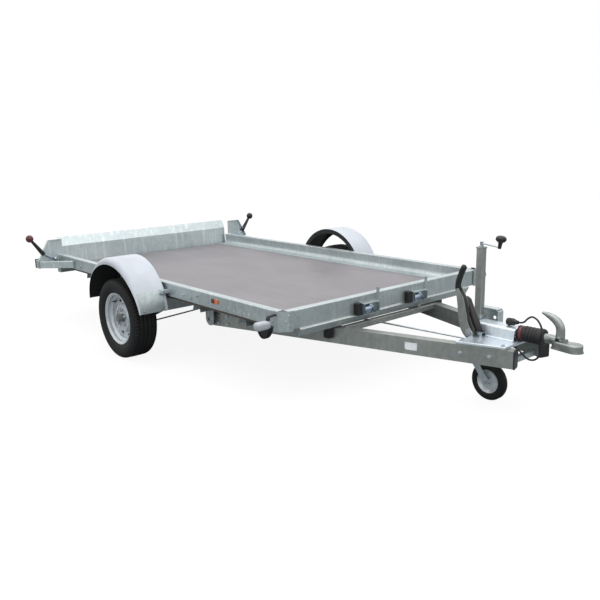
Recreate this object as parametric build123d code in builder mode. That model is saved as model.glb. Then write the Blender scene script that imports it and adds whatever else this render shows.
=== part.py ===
# Single-axle tilt-bed flatbed trailer, galvanised, with an overrun-braked A-frame drawbar.
# Millimetres.  X points forward to the coupling, Y to the left, Z up from the ground.
# The X origin is halfway between the tail panel's lip and the coupling's nose.
from build123d import *
import math
import os

os.makedirs("parts", exist_ok=True)

# ---- bed ----
bed_length = 3020
bed_width = 1800
rim_top = 552
rail_height = 90
rim_flange = 50
rail_ledge = 145            # from the bed's side to the ledge's inner edge
rail_foot = 30
sheet = 3
bend = 5
ledge_bend = 34
deck_thick = 15
deck_inset = 12
deck_gap = 10               # between the deck's ends and the sill
front_ahead = 1555          # the sill's front face ahead of the axle
sill_foot = 40
plate = 4                   # thickness of the plates and brackets
corner_leg = 70
corner_cut = 42
corner_drop = 8
flap_drop = 48
flap_inset = 120
flap_lip = 25
member_height = 45
member_width = 90
member_taper = 12
member_aheads = (1135, 650, 150, -400, -940)

# ---- rows of lashing holes in the side rails ----
hole_count = 9
hole_pitch = 49
hole_radius = 8
hole_drop = 61             # below the rim
hole_rows = (1152, -750)    # middles of the rows ahead of the axle

# ---- tail panel and its knuckle ----
tail_panel_width = 1720
tail_panel_depth = 25
tail_panel_height = 156
tail_lip_height = 72
tail_lip_lean = 42
tail_lean = 6
hinge_behind = 33           # behind the bed's end
hinge_drop = 4
hinge_radius = 9
hinge_gap = 2

# ---- rear beam, lamp outriggers and lamps ----
outrigger_reach = 225
outrigger_top = 132         # above the rim
outrigger_slope = 95
outrigger_side = 40         # height of the outer edge above the deck's underside
outrigger_overlap = 30
slope_flange = 28
latch_slot = 16
gusset_run = 330
gusset_fold = 36
rear_beam_height = 52
rear_beam_depth = 60
rear_beam_lap = 20
lamp_depth = 50
lamp_width = 170
lamp_height = 110
lamp_corner = 15

# ---- tail latches ----
latch_hub_out = 55          # beyond the bed's side
latch_hub_height = 500
latch_hub_radius = 14
lever_length = 311
lever_angle = 43.7
lever_radius = 6
grip_length = 145
grip_radius = 10
ball_radius = 24

# ---- wheels ----
wheel_radius = 280
tyre_width = 185
bead_radius = 168
rim_radius = 182
rim_width = 150
rim_sheet = 4
rim_step = 22               # from the flange down to the bead seat
well_depth = 20
wheel_gap = 41              # between the bed's side and the tyre
hat_radius = 92
hat_rise = 24               # the hat stands out beyond the disc's low ring
disc_inset = 58             # the low ring lies this far inside the rim's outer edge
vent_radius = 122
vent_count = 8
vent_length = 40
vent_width = 17
bore_radius = 31
cap_radius = 30
cap_reach = 34

# ---- axle and brakes ----
tube_ahead = 150            # torsion tube ahead of the wheel centres
tube_size = 80
tube_wall = 6
tube_inset = 60             # the tube ends this far inside the bed's side
arm_thick = 22
arm_big = 48
arm_small = 34
stub_radius = 24
spindle_radius = 20
spindle_gap = 0.3
drum_radius = 104
drum_width = 50
drum_face = 60
brake_plate_radius = 112
brake_gap = 2

# ---- mudguards ----
guard_radius = 380
guard_rise = 50             # arc centre above the wheel centre
guard_width = 232
guard_wall = 4
guard_foot = 45             # the ends stop this far above the arc's centre
guard_skirt = 45            # depth of the outer skirt at the crown
guard_turn = 34             # rounding between the tread and the skirt
guard_fold = 40             # inner wall
guard_gap = 16
stay_width = 180
stay_height = 140
stay_bar = 20
stay_bar_length = 45
stay_bar_height = 500

# ---- drawbar ----
beam_height = 95
beam_width = 62
beam_wall = 4
beam_angle = 17.3
beam_top = 383
beam_front_ahead = 2505     # the beams' front ends ahead of the axle
beam_front_half = 140       # half the distance between their centre lines there
beam_cap = 7
pivot_ahead = 650
pivot_radius = 12
pivot_gap = 0.3
pivot_room = 6              # between a beam and the bracket plates beside it
bracket_half = 45
cross_ahead = 1587          # the cross tube's middle ahead of the axle
cross_depth = 110
cross_height = 45
rod_hole = 9
buffer_length = 45
buffer_width = 36
buffer_height = 72
buffer_gap = 1
buffer_ahead = 1500
keeper_width = 30
keeper_height = 44

# ---- front latches ----
latch_half = 228
latch_width = 140
latch_height = 100
latch_depth = 46
latch_z = 470
latch_bar = 34
latch_bar_top = 34          # above the rim
pad_width = 58
pad_height = 78
pad_depth = 30

# ---- jack ----
post_ahead = 2160
post_side = 35
post_length = 62
post_width = 72
post_wall = 4
post_top = 864
post_bottom = 300
inner_gap = 3
inner_length = 400
jack_down = 200
jack_up = 55
crank_rise = 34
crank_throw = 104
crank_radius = 8
knob_radius = 26
knob_height = 68
jockey_radius = 110
jockey_width = 50
jockey_rim_radius = 68
jockey_trail = 84
jockey_pin_radius = 8
jockey_play = 0.3
fork_plate = 5
fork_room = 5
side_bracket_length = 130
side_bracket_depth = 52
side_bracket_height = 122

# ---- head: tray, overrun housing, coupling ----
tray_length = 400
tray_behind = 60            # the tray starts this far behind the jack's post
tray_rise = 14
housing_width = 68            # half the width over its foot flanges
housing_half = 56
housing_setback = 28         # behind the tray's front edge
housing_rise = 81           # the housing's roof above the beams
shaft_height = 438
shaft_radius = 19
shaft_reach = 185
bellows_radius = 37
bellows_root = 31
bellows_length = 145
bellows_folds = 5
low_bar_ahead = 2455
low_bar_size = 30
low_bar_drop = 62           # below the beams' top
nose_ahead = 2795
cup_radius = 40
cup_height = 42
head_wall = 5
head_lip = 5
clamp_radius = 25
clamp_length = 66
handle_width = 28
handle_thick = 15
lug_room = 2

# ---- hand brake ----
lever_side = 118            # the brake lever's middle to the right of the centre
lever_foot_ahead = 2232
lever_knee_ahead = 2178
lever_knee_height = 470
lever_top_ahead = 2151
lever_top_height = 635
lever_channel = 46
lever_depth = 34
grip_bar_radius = 15
grip_lean = 34
grip_rise = 145
strut_radius = 13
strut_rod_radius = 6
strut_top_ahead = 2159
strut_top_height = 604
strut_foot_ahead = 2262
strut_bolt_radius = 5
strut_foot_size = 22

# ---- brake rod, linkage and cables ----
rod_radius = 5
rod_front_ahead = 2195
rod_front_side = 105
rod_front_height = 374
rod_rear_side = 160
eye_radius = 15
eye_thick = 8
eye_pin_radius = 6
eye_play = 0.3
equaliser_ahead = 330
equaliser_half = 60
equaliser_size = 16
abutment_depth = 38
cable_radius = 5
cable_bend = 60
cable_low_ahead = 100       # where the cable dips towards the torsion axle
cable_low_side = 430
cable_low_z = 268
cable_arm_ahead = 50        # and where it meets the axle arm
cable_arm_side = 780
cable_end_ahead = 66        # the straight end into the brake
cable_end_side = 880
cable_end_z = 234

# ---- plug and its lead ----
lead_radius = 5
plug_radius = 21
plug_length = 72
plug_neck_radius = 10
plug_neck = 26

# ---- front lamps and wheel chock ----
lamp_arm_height = 534
lamp_arm_reach = 48
lamp_arm_width = 26
lamp_arm_thick = 12
lamp_head_reach = 98
lamp_head_length = 62
lamp_head_height = 60
lamp_head_drop = 44
chock_ahead = 1262
chock_side = 800
chock_length = 146
chock_width = 90
chock_height = 130
chock_wall = 6

# ---- derived places ----
deck_top = rim_top - rail_height
deck_bottom = deck_top - deck_thick
member_bottom = deck_bottom - member_height
half_bed = bed_width / 2
rear_behind = bed_length - front_ahead
panel_reach = rear_behind + hinge_behind - hinge_radius + tail_lip_lean + tail_panel_depth
lamp_reach = rear_behind + rear_beam_depth - rear_beam_lap + lamp_depth
tail_end = max(panel_reach, lamp_reach)
axle_x = (tail_end - nose_ahead) / 2
front_x = axle_x + front_ahead
rear_x = axle_x - rear_behind
hinge_x = rear_x - hinge_behind
hinge_z = deck_top - hinge_drop
tube_x = axle_x + tube_ahead
tube_z = member_bottom - tube_size / 2
equaliser_z = tube_z - (tube_size + abutment_depth) / 2
tyre_y = half_bed + wheel_gap + tyre_width / 2
pivot_x = axle_x + pivot_ahead
pivot_z = beam_top - beam_height / 2
beam_front_x = axle_x + beam_front_ahead
beam_slant = math.radians(beam_angle)
beam_half_y = beam_width / 2 / math.cos(beam_slant)
cross_x = axle_x + cross_ahead
post_x = axle_x + post_ahead
jockey_x = post_x + jockey_trail
fork_top = 2 * jockey_radius - 2
nose_x = axle_x + nose_ahead
tray_back = post_x - post_length / 2 - tray_behind
tray_front = tray_back + tray_length
tray_top = beam_top + tray_rise
bellows_flange = shaft_height - tray_top


def beam_y(x):
    """Distance of a beam's centre line from the middle of the trailer at x."""
    return beam_front_half + math.tan(beam_slant) * (beam_front_x - x)


def side_name(side):
    return "right" if side < 0 else "left"


def save(part, name):
    part.label = name
    export_step(part, "parts/" + name + ".step")


def between_beams(back, front, top, height):
    """A bar across the drawbar whose ends lie against the beams' inner faces."""
    with BuildPart() as bar:
        with BuildSketch(Plane.XY.offset(top)):
            Polygon(
                (back, beam_half_y - beam_y(back)),
                (front, beam_half_y - beam_y(front)),
                (front, beam_y(front) - beam_half_y),
                (back, beam_y(back) - beam_half_y),
                align=None,
            )
        extrude(amount=-height)
    return bar.part


def rod_point(x):
    """Place of the brake rod at x, on its straight line from the head to the bed's pivot."""
    share = (x - pivot_x) / (rod_front_ahead - pivot_ahead)
    return (x, share * (rod_rear_side - rod_front_side) - rod_rear_side, pivot_z + share * (rod_front_height - pivot_z))


def upright(y):
    """The side-view plane at y: its x is the trailer's X and its y is Z."""
    return Plane.XZ.offset(-y)


# ---- deck and rim ----
with BuildPart() as deck:
    with BuildSketch(Plane.XY.offset(deck_bottom)):
        with Locations(((front_x + rear_x) / 2, 0)):
            Rectangle(bed_length - 2 * deck_gap, bed_width - 2 * deck_inset)
    extrude(amount=deck_thick)
    chamfer(deck.edges().filter_by(Axis.Z).group_by(Axis.X)[-1], corner_cut)
save(deck.part, "deck")

for side in (-1, 1):
    # one rolled sheet: foot, web, top flange, inner web and the ledge on the deck
    with BuildPart() as rail:
        with BuildSketch(Plane.YZ.offset(rear_x)):
            with BuildLine():
                FilletPolyline(
                    (side * (half_bed - rail_foot), deck_top),
                    (side * half_bed, deck_top),
                    (side * half_bed, rim_top),
                    (side * (half_bed - rim_flange), rim_top),
                    (side * (half_bed - rim_flange), deck_top + sheet),
                    (side * (half_bed - rail_ledge), deck_top + sheet),
                    radius=[bend, bend, bend, ledge_bend],
                )
                offset(amount=sheet, side=Side.RIGHT if side < 0 else Side.LEFT, closed=True)
            make_face()
        extrude(amount=bed_length - rim_flange - 1)
        with BuildSketch(upright(side * half_bed)):
            for ahead in hole_rows:
                with Locations((axle_x + ahead, rim_top - hole_drop)):
                    with GridLocations(hole_pitch, 1, hole_count, 1):
                        Circle(hole_radius)
        extrude(amount=2 * sheet, both=True, mode=Mode.SUBTRACT)
    save(rail.part, "side_rail_" + side_name(side))

with BuildPart() as corners:
    for side in (-1, 1):
        outer = half_bed + plate
        with BuildSketch(Plane.XY.offset(deck_bottom - corner_drop)):
            with BuildLine():
                Polyline(
                    (front_x - corner_leg, side * outer),
                    (front_x + plate - corner_cut, side * outer),
                    (front_x + plate, side * (outer - corner_cut)),
                    (front_x + plate, side * (half_bed - corner_leg)),
                )
                offset(amount=plate, side=Side.LEFT if side > 0 else Side.RIGHT, closed=True)
            make_face()
        extrude(amount=rim_top + sheet - deck_bottom + corner_drop)
save(corners.part, "front_corners")

# front sill: flange, web and a foot under the deck
sill_half = half_bed - corner_cut - plate
with BuildPart() as sill:
    with BuildSketch(upright(sill_half)):
        with BuildLine():
            FilletPolyline(
                (front_x - rim_flange, deck_top),
                (front_x - rim_flange, rim_top),
                (front_x, rim_top),
                (front_x, deck_bottom - sheet),
                (front_x - sill_foot, deck_bottom - sheet),
                radius=bend,
            )
            offset(amount=sheet, side=Side.LEFT, closed=True)
        make_face()
    extrude(amount=2 * sill_half)
save(sill.part, "front_sill")

with BuildPart() as flap:
    with BuildSketch(upright(half_bed - flap_inset)):
        with BuildLine():
            FilletPolyline(
                (front_x - sill_foot, deck_bottom - 2 * sheet),
                (front_x + sheet, deck_bottom - 2 * sheet),
                (front_x + sheet, deck_bottom - flap_drop),
                (front_x - flap_lip, deck_bottom - flap_drop),
                radius=bend,
            )
            offset(amount=sheet, side=Side.RIGHT, closed=True)
        make_face()
    extrude(amount=2 * (half_bed - flap_inset))
save(flap.part, "front_flap")

# cross members: hat channels under the deck, open downwards
member_half = half_bed - rail_foot
with BuildPart() as members:
    with BuildSketch(upright(member_half)):
        for ahead in member_aheads:
            x = axle_x + ahead
            top_half = member_width / 2 - member_taper
            with BuildLine():
                FilletPolyline(
                    (x - member_width / 2, member_bottom),
                    (x - top_half, deck_bottom),
                    (x + top_half, deck_bottom),
                    (x + member_width / 2, member_bottom),
                    radius=bend,
                )
                offset(amount=sheet, side=Side.RIGHT, closed=True)
            make_face()
    extrude(amount=2 * member_half)
    with Locations((axle_x, 0, member_bottom)):
        Box(2 * bed_length, bed_width, 2 * sheet, align=(Align.CENTER, Align.CENTER, Align.MAX), mode=Mode.SUBTRACT)
save(members.part, "cross_members")

# rear cross beam that carries the tail panel's hinge and the lamp outriggers
out_y = half_bed + outrigger_reach
rear_beam_x = rear_x + rear_beam_lap - rear_beam_depth / 2
with BuildPart() as rear_beam:
    with Locations((rear_beam_x, 0, deck_bottom - rear_beam_height / 2)):
        Box(rear_beam_depth, 2 * out_y, rear_beam_height)
        Box(rear_beam_depth - 2 * plate, 2 * out_y, rear_beam_height - 2 * plate, mode=Mode.SUBTRACT)
save(rear_beam.part, "rear_beam")

# tail panel: a folded sheet leaning out over a rolled knuckle
panel_x = hinge_x + hinge_radius
with BuildPart() as tail_panel:
    with BuildSketch(upright(tail_panel_width / 2)):
        with BuildLine():
            FilletPolyline(
                (panel_x, hinge_z),
                (panel_x - tail_lean, hinge_z + tail_panel_height),
                (panel_x - tail_lip_lean, hinge_z + tail_panel_height + tail_lip_height),
                (panel_x - tail_lip_lean - tail_panel_depth, hinge_z + tail_panel_height + tail_lip_height),
                radius=bend,
            )
            offset(amount=sheet, side=Side.LEFT, closed=True)
        make_face()
        with Locations((hinge_x, hinge_z)):
            Circle(hinge_radius)
    extrude(amount=tail_panel_width)
save(tail_panel.part, "tail_panel")

# lamp outriggers: upright plates with a sloping edge folded forward and a braced foot
outrigger_x = rear_x + rear_beam_lap
outrigger_z = rim_top + outrigger_top
slope_foot = (out_y, deck_bottom + outrigger_side)
slope_head = (out_y - outrigger_slope, outrigger_z)
hub_y = half_bed + latch_hub_out
with BuildPart() as outriggers:
    for side in (-1, 1):
        with BuildSketch(Plane.YZ.offset(outrigger_x)):
            Polygon(
                (side * (half_bed + 2), deck_bottom - rear_beam_height),
                (side * out_y, deck_bottom - rear_beam_height),
                (side * slope_foot[0], slope_foot[1]),
                (side * slope_head[0], slope_head[1]),
                (side * (half_bed - outrigger_overlap), outrigger_z),
                (side * (half_bed - outrigger_overlap), rim_top + 2 * plate),
                (side * (half_bed + 2), rim_top + 2 * plate),
                align=None,
            )
        extrude(amount=plate)
        with BuildSketch(Plane.YZ.offset(outrigger_x)):
            Polygon(
                (side * slope_foot[0], slope_foot[1]),
                (side * slope_head[0], slope_head[1]),
                (side * (slope_head[0] - plate), slope_head[1]),
                (side * (slope_foot[0] - plate), slope_foot[1]),
                align=None,
            )
        extrude(amount=slope_flange)
        # slot in the folded edge for the latch lever
        with Locations(Location((outrigger_x + plate + latch_slot / 2, side * hub_y, latch_hub_height),
                                (side * (lever_angle - 90), 0, 0))):
            Box(latch_slot, latch_slot, 2 * lever_length, mode=Mode.SUBTRACT)
        # brace from the outer foot to the side rail
        with BuildSketch(Plane.XY.offset(deck_bottom - rear_beam_height)):
            Polygon(
                (outrigger_x + plate, side * (half_bed + 2)),
                (outrigger_x + plate + gusset_run, side * (half_bed + 2)),
                (outrigger_x + plate, side * out_y),
                align=None,
            )
        extrude(amount=plate)
        with BuildSketch(Plane.XY.offset(deck_bottom - rear_beam_height)):
            Polygon(
                (outrigger_x + plate + gusset_run, side * (half_bed + 2)),
                (outrigger_x + plate, side * out_y),
                (outrigger_x + plate, side * (out_y - plate)),
                (outrigger_x + plate + gusset_run - 2 * plate, side * (half_bed + 2)),
                align=None,
            )
        extrude(amount=gusset_fold)
save(outriggers.part, "lamp_outriggers")

lamp_x = rear_beam_x - rear_beam_depth / 2 - lamp_depth / 2
with BuildPart() as lamps:
    for side in (-1, 1):
        with Locations((lamp_x, side * (out_y - lamp_width / 2 - lamp_corner), deck_bottom - rear_beam_height / 2)):
            Box(lamp_depth, lamp_width, lamp_height)
    fillet(lamps.edges().filter_by(Axis.X), lamp_corner)
save(lamps.part, "rear_lamps")

# tail latches: a hub on the plate and a lever that leaves through the slot
with BuildPart() as tail_latches:
    for side in (-1, 1):
        with BuildSketch(Plane.YZ.offset(outrigger_x + plate)):
            with Locations((side * hub_y, latch_hub_height)):
                Circle(latch_hub_radius)
        extrude(amount=latch_slot)
        lever_plane = Plane(
            (outrigger_x + plate + latch_slot / 2, side * hub_y, latch_hub_height),
            x_dir=(1, 0, 0),
            z_dir=(0, side * math.cos(math.radians(lever_angle)), math.sin(math.radians(lever_angle))),
        )
        with BuildSketch(lever_plane):
            Circle(lever_radius)
        extrude(amount=lever_length)
        with BuildSketch(lever_plane.offset(lever_length - grip_length)):
            Circle(grip_radius)
        with BuildSketch(lever_plane.offset(lever_length - ball_radius)):
            Circle(grip_radius / 2 + 2)
        loft()
        with Locations(lever_plane.offset(lever_length)):
            Sphere(ball_radius)
save(tail_latches.part, "tail_latches")

# ---- axle ----
tube_half = half_bed - tube_inset
with BuildPart() as axle_tube:
    with Locations((tube_x, 0, tube_z)):
        Box(tube_size, 2 * tube_half, tube_size)
        Box(tube_size - 2 * tube_wall, 2 * tube_half, tube_size - 2 * tube_wall, mode=Mode.SUBTRACT)
    # abutment of the brake cables
    with Locations((tube_x + (tube_size - plate) / 2, -rod_rear_side, equaliser_z)):
        Box(plate, 4 * equaliser_half, abutment_depth)
        for reach in (-1, 1):
            with Locations((0, reach * equaliser_half, 0)):
                Cylinder(cable_radius, 4 * plate, rotation=(0, 90, 0), mode=Mode.SUBTRACT)
save(axle_tube.part, "axle_tube")

# swing arms: a forged arm on the tube's end with the stub that carries the wheel
drum_out = tyre_y - drum_face + drum_width
drum_in = tyre_y - drum_face
plate_in = drum_in - brake_gap - plate
with BuildPart() as arms:
    for side in (-1, 1):
        with BuildSketch(upright(side * tube_half)):
            with Locations((tube_x, tube_z)):
                Circle(arm_big)
            with Locations((axle_x, wheel_radius)):
                Circle(arm_small)
            make_hull()
        extrude(amount=-side * arm_thick)
        with BuildSketch(upright(side * (tube_half + arm_thick))):
            with Locations((axle_x, wheel_radius)):
                Circle(stub_radius)
        extrude(amount=-side * (plate_in - tube_half - arm_thick))
        with BuildSketch(upright(side * plate_in)):
            with Locations((axle_x, wheel_radius)):
                Circle(spindle_radius)
        extrude(amount=-side * (drum_out - 3 * plate - plate_in))
save(arms.part, "swing_arms")

with BuildPart() as brake_plates:
    for side in (-1, 1):
        with BuildSketch(upright(side * plate_in)):
            with Locations((axle_x, wheel_radius)):
                Circle(brake_plate_radius)
                Circle(spindle_radius, mode=Mode.SUBTRACT)
        extrude(amount=-side * plate)
save(brake_plates.part, "brake_plates")

# ---- wheels ----
rim_half = rim_width / 2
tread_half = tyre_width / 2
disc_w = rim_half - disc_inset
hat_w = disc_w + hat_rise
for side in (-1, 1):
    # sketch x is the radius and sketch y points outwards from the wheel's middle
    wheel_section = Plane((axle_x, side * tyre_y, wheel_radius), x_dir=(1, 0, 0), z_dir=(0, 0, side))
    wheel_axis = Axis((axle_x, side * tyre_y, wheel_radius), (0, 1, 0))

    with BuildPart() as tyre:
        with BuildSketch(wheel_section):
            with BuildLine():
                Polyline(
                    (bead_radius, 3 - rim_half + 2 * rim_sheet),
                    (bead_radius, rim_half - 2 * rim_sheet - 3),
                    (rim_radius + 1, rim_half - rim_sheet - 1),
                    (rim_radius + 26, tread_half - 3),
                    (wheel_radius - 42, tread_half),
                    (wheel_radius - 12, tread_half - 12),
                    (wheel_radius, tread_half - 34),
                    (wheel_radius, 34 - tread_half),
                    (wheel_radius - 12, 12 - tread_half),
                    (wheel_radius - 42, -tread_half),
                    (rim_radius + 26, 3 - tread_half),
                    (rim_radius + 1, 1 - rim_half + rim_sheet),
                    close=True,
                )
            make_face()
        revolve(axis=wheel_axis)
    save(tyre.part, "tyre_" + side_name(side))

    with BuildPart() as rim:
        with BuildSketch(wheel_section):
            with BuildLine():
                Polyline(
                    (rim_radius, rim_half),
                    (rim_radius, rim_half - rim_sheet),
                    (bead_radius, rim_half - 2 * rim_sheet - 2),
                    (bead_radius, 2 - rim_half + 2 * rim_sheet),
                    (rim_radius, rim_sheet - rim_half),
                    (rim_radius, -rim_half),
                    (bead_radius - rim_step, 15 - rim_half),
                    (bead_radius - rim_step, disc_w - rim_sheet),
                    (hat_radius + 10, disc_w - rim_sheet - 2),
                    (hat_radius - 4, hat_w - rim_sheet),
                    (hat_radius - 16, hat_w - rim_sheet),
                    (hat_radius - 20, hat_w - rim_sheet - 8),
                    (bore_radius, hat_w - rim_sheet - 8),
                    (bore_radius, hat_w - 8),
                    (hat_radius - 22, hat_w - 8),
                    (hat_radius - 18, hat_w),
                    (hat_radius, hat_w),
                    (hat_radius + 12, disc_w),
                    (bead_radius - rim_step, disc_w + 4),
                    (bead_radius - rim_step, rim_half - 40),
                    (bead_radius - rim_sheet, rim_half - 28),
                    (bead_radius - rim_sheet, rim_half - 10),
                    (rim_radius - rim_sheet, rim_half),
                    close=True,
                )
            make_face()
        revolve(axis=wheel_axis)
        with BuildSketch(upright(side * (tyre_y + disc_w))):
            with Locations((axle_x, wheel_radius)):
                with PolarLocations(vent_radius, vent_count, start_angle=180 / vent_count):
                    SlotOverall(vent_length, vent_width, rotation=90)
        extrude(amount=4 * rim_sheet, both=True, mode=Mode.SUBTRACT)
    save(rim.part, "rim_" + side_name(side))

    with BuildPart() as drum:
        with BuildSketch(upright(side * drum_out)):
            with Locations((axle_x, wheel_radius)):
                Circle(drum_radius)
        extrude(amount=side * drum_width)
        # the hub's face carries the rim, and its cap comes out through the bore
        with BuildSketch(upright(side * drum_out)):
            with Locations((axle_x, wheel_radius)):
                Circle(hat_radius - 30)
        extrude(amount=-side * (tyre_y + hat_w - rim_sheet - 8 - drum_out))
        with BuildSketch(upright(side * drum_out)):
            with Locations((axle_x, wheel_radius)):
                Circle(cap_radius)
        extrude(amount=-side * (tyre_y + hat_w + cap_reach - drum_out), taper=4)
        with BuildSketch(upright(side * drum_in)):
            with Locations((axle_x, wheel_radius)):
                Circle(spindle_radius + spindle_gap)
        extrude(amount=-side * (drum_width - 2 * plate), mode=Mode.SUBTRACT)
    save(drum.part, "brake_drum_" + side_name(side))

# ---- mudguards ----
guard_z = wheel_radius + guard_rise
guard_in = half_bed + guard_gap
guard_start = math.asin(guard_foot / guard_radius)
guard_arc = 180 - 2 * math.degrees(guard_start)


def guard_plane(side, y, turn):
    """Sketch plane whose x is the guard's radius at the given turn and whose y points outwards."""
    return Plane(
        (axle_x, side * y, guard_z),
        x_dir=(math.cos(turn), 0, math.sin(turn)),
        z_dir=(-side * math.sin(turn), 0, side * math.cos(turn)),
    )


for side in (-1, 1):
    guard_axis = Axis((axle_x, side * guard_in, guard_z), (0, -1, 0))
    with BuildPart() as guard:
        with BuildSketch(guard_plane(side, guard_in, guard_start)):
            with BuildLine():
                FilletPolyline(
                    (guard_radius - guard_fold, 0),
                    (guard_radius, 0),
                    (guard_radius, guard_width),
                    (guard_radius - guard_skirt, guard_width),
                    radius=[guard_wall + 2, guard_turn],
                )
                offset(amount=guard_wall, side=Side.LEFT, closed=True)
            make_face()
        revolve(axis=guard_axis, revolution_arc=guard_arc)
        # the skirt runs out towards both ends
        with BuildSketch(upright(side * (guard_in + guard_turn))):
            with Locations((axle_x, guard_z)):
                Ellipse(guard_radius - guard_wall, guard_radius - guard_skirt)
        extrude(amount=-side * guard_width, mode=Mode.SUBTRACT)
    save(guard.part, "mudguard_" + side_name(side))

with BuildPart() as stays:
    for side in (-1, 1):
        for end in (-1, 1):
            with Locations((axle_x + end * (guard_radius - stay_bar_length / 2), side * (half_bed + guard_gap / 2 + stay_bar), stay_bar_height)):
                Box(stay_bar_length, guard_gap + 2 * stay_bar, stay_bar)
    with Locations((axle_x, 0, guard_z)):
        Cylinder(guard_radius + sheet / 2, 3 * bed_width, rotation=(90, 0, 0), mode=Mode.SUBTRACT)
    for side in (-1, 1):
        for end in (-1, 1):
            turn = guard_start if end > 0 else math.pi - guard_start
            with BuildSketch(guard_plane(side, guard_in + guard_width / 2, turn)):
                with Locations((guard_radius + sheet / 2, 0)):
                    Rectangle(sheet, stay_width)
            axis = Axis((axle_x, 0, guard_z), (0, -end, 0))
            revolve(axis=axis, revolution_arc=math.degrees(stay_height / guard_radius))
save(stays.part, "mudguard_stays")

# ---- pivot of the bed on the drawbar ----
pivot_y = beam_y(pivot_x)
bracket_reach = beam_half_y + pivot_room + math.tan(beam_slant) * bracket_half
with BuildPart() as pivot_brackets:
    for side in (-1, 1):
        for reach in (-1, 1):
            with BuildSketch(upright(side * pivot_y + reach * (bracket_reach + plate / 2))):
                with BuildLine():
                    Polyline(
                        (pivot_x - bracket_half, pivot_z),
                        (pivot_x - bracket_half, member_bottom),
                        (pivot_x + bracket_half, member_bottom),
                        (pivot_x + bracket_half, pivot_z),
                    )
                    ThreePointArc(
                        (pivot_x + bracket_half, pivot_z),
                        (pivot_x, pivot_z - bracket_half),
                        (pivot_x - bracket_half, pivot_z),
                    )
                make_face()
                with Locations((pivot_x, pivot_z)):
                    Circle(pivot_radius, mode=Mode.SUBTRACT)
            extrude(amount=plate / 2, both=True)
        with Locations((pivot_x, side * pivot_y, member_bottom - plate / 2)):
            Box(2 * bracket_half, 2 * bracket_reach, plate)
save(pivot_brackets.part, "pivot_brackets")

with BuildPart() as pivot_pins:
    for side in (-1, 1):
        with Locations((pivot_x, side * pivot_y, pivot_z)):
            Cylinder(pivot_radius, 2 * (bracket_reach + 3 * plate), rotation=(90, 0, 0))
save(pivot_pins.part, "pivot_pins")

# ---- drawbar ----
beam_run = (beam_front_x - pivot_x) / math.cos(beam_slant)
buffer_x = axle_x + buffer_ahead
buffer_top = deck_bottom - flap_drop - buffer_gap
buffer_y = beam_y(buffer_x - buffer_length / 2) + beam_half_y + buffer_width / 2 + 1
for side in (-1, 1):
    along = Plane(
        (pivot_x, side * pivot_y, pivot_z),
        x_dir=(math.cos(beam_slant), -side * math.sin(beam_slant), 0),
        z_dir=(side * math.sin(beam_slant), math.cos(beam_slant), 0),
    )
    with BuildPart() as beam:
        with BuildSketch(along):
            with Locations((beam_run / 2, 0)):
                Rectangle(beam_run, beam_height)
            Circle(beam_height / 2)
        extrude(amount=beam_width / 2, both=True)
        # hollow from behind the end cap to the closed rear end
        with BuildSketch(along):
            with Locations(((beam_run + beam_height) / 2, 0)):
                Rectangle(beam_run - beam_height, beam_height - 2 * beam_wall)
        extrude(amount=beam_width / 2 - beam_wall, both=True, mode=Mode.SUBTRACT)
        # foot of the rubber buffer
        with Locations((buffer_x, side * (buffer_y - buffer_width / 4), buffer_top - buffer_height - plate / 2)):
            Box(buffer_length, buffer_width * 1.5, plate)
        with BuildSketch(upright(side * pivot_y)):
            with Locations((pivot_x, pivot_z)):
                Circle(pivot_radius + pivot_gap)
        extrude(amount=2 * beam_width, both=True, mode=Mode.SUBTRACT)
    save(beam.part, "beam_" + side_name(side))

with BuildPart() as caps:
    for side in (-1, 1):
        nose = Plane(
            (beam_front_x, side * beam_front_half, pivot_z),
            x_dir=(0, 0, 1),
            z_dir=(math.cos(beam_slant), -side * math.sin(beam_slant), 0),
        )
        with BuildSketch(nose):
            RectangleRounded(beam_height + 6, beam_width + 6, 8)
        extrude(amount=beam_cap)
save(caps.part, "beam_caps")

# cross tube between the beams, with the keepers of the front latches and a hole for the brake rod
cross_back = cross_x - cross_depth / 2
cross_front = cross_x + cross_depth / 2
with BuildPart() as cross_tube:
    add(between_beams(cross_back, cross_front, beam_top, cross_height))
    with Locations((cross_x, 0, beam_top - cross_height / 2)):
        Box(cross_depth - 2 * plate, 4 * beam_front_half, cross_height - 2 * plate, mode=Mode.SUBTRACT)
    for side in (-1, 1):
        with BuildSketch(Plane.YZ.offset(cross_front)):
            with Locations((side * latch_half, beam_top)):
                Rectangle(keeper_width, keeper_height)
                Circle(keeper_width / 4, mode=Mode.SUBTRACT)
        extrude(amount=plate)
    with Locations(rod_point(cross_x)):
        Cylinder(rod_hole, 2 * cross_depth, rotation=(0, 90, 0), mode=Mode.SUBTRACT)
save(cross_tube.part, "cross_tube")

with BuildPart() as buffers:
    for side in (-1, 1):
        with Locations((buffer_x, side * buffer_y, buffer_top - buffer_height / 2)):
            Box(buffer_length, buffer_width, buffer_height)
save(buffers.part, "rubber_buffers")

low_bar_x = axle_x + low_bar_ahead
low_bar = between_beams(low_bar_x - low_bar_size / 2, low_bar_x + low_bar_size / 2, beam_top - low_bar_drop, low_bar_size)
save(low_bar, "head_cross_bar")

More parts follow.
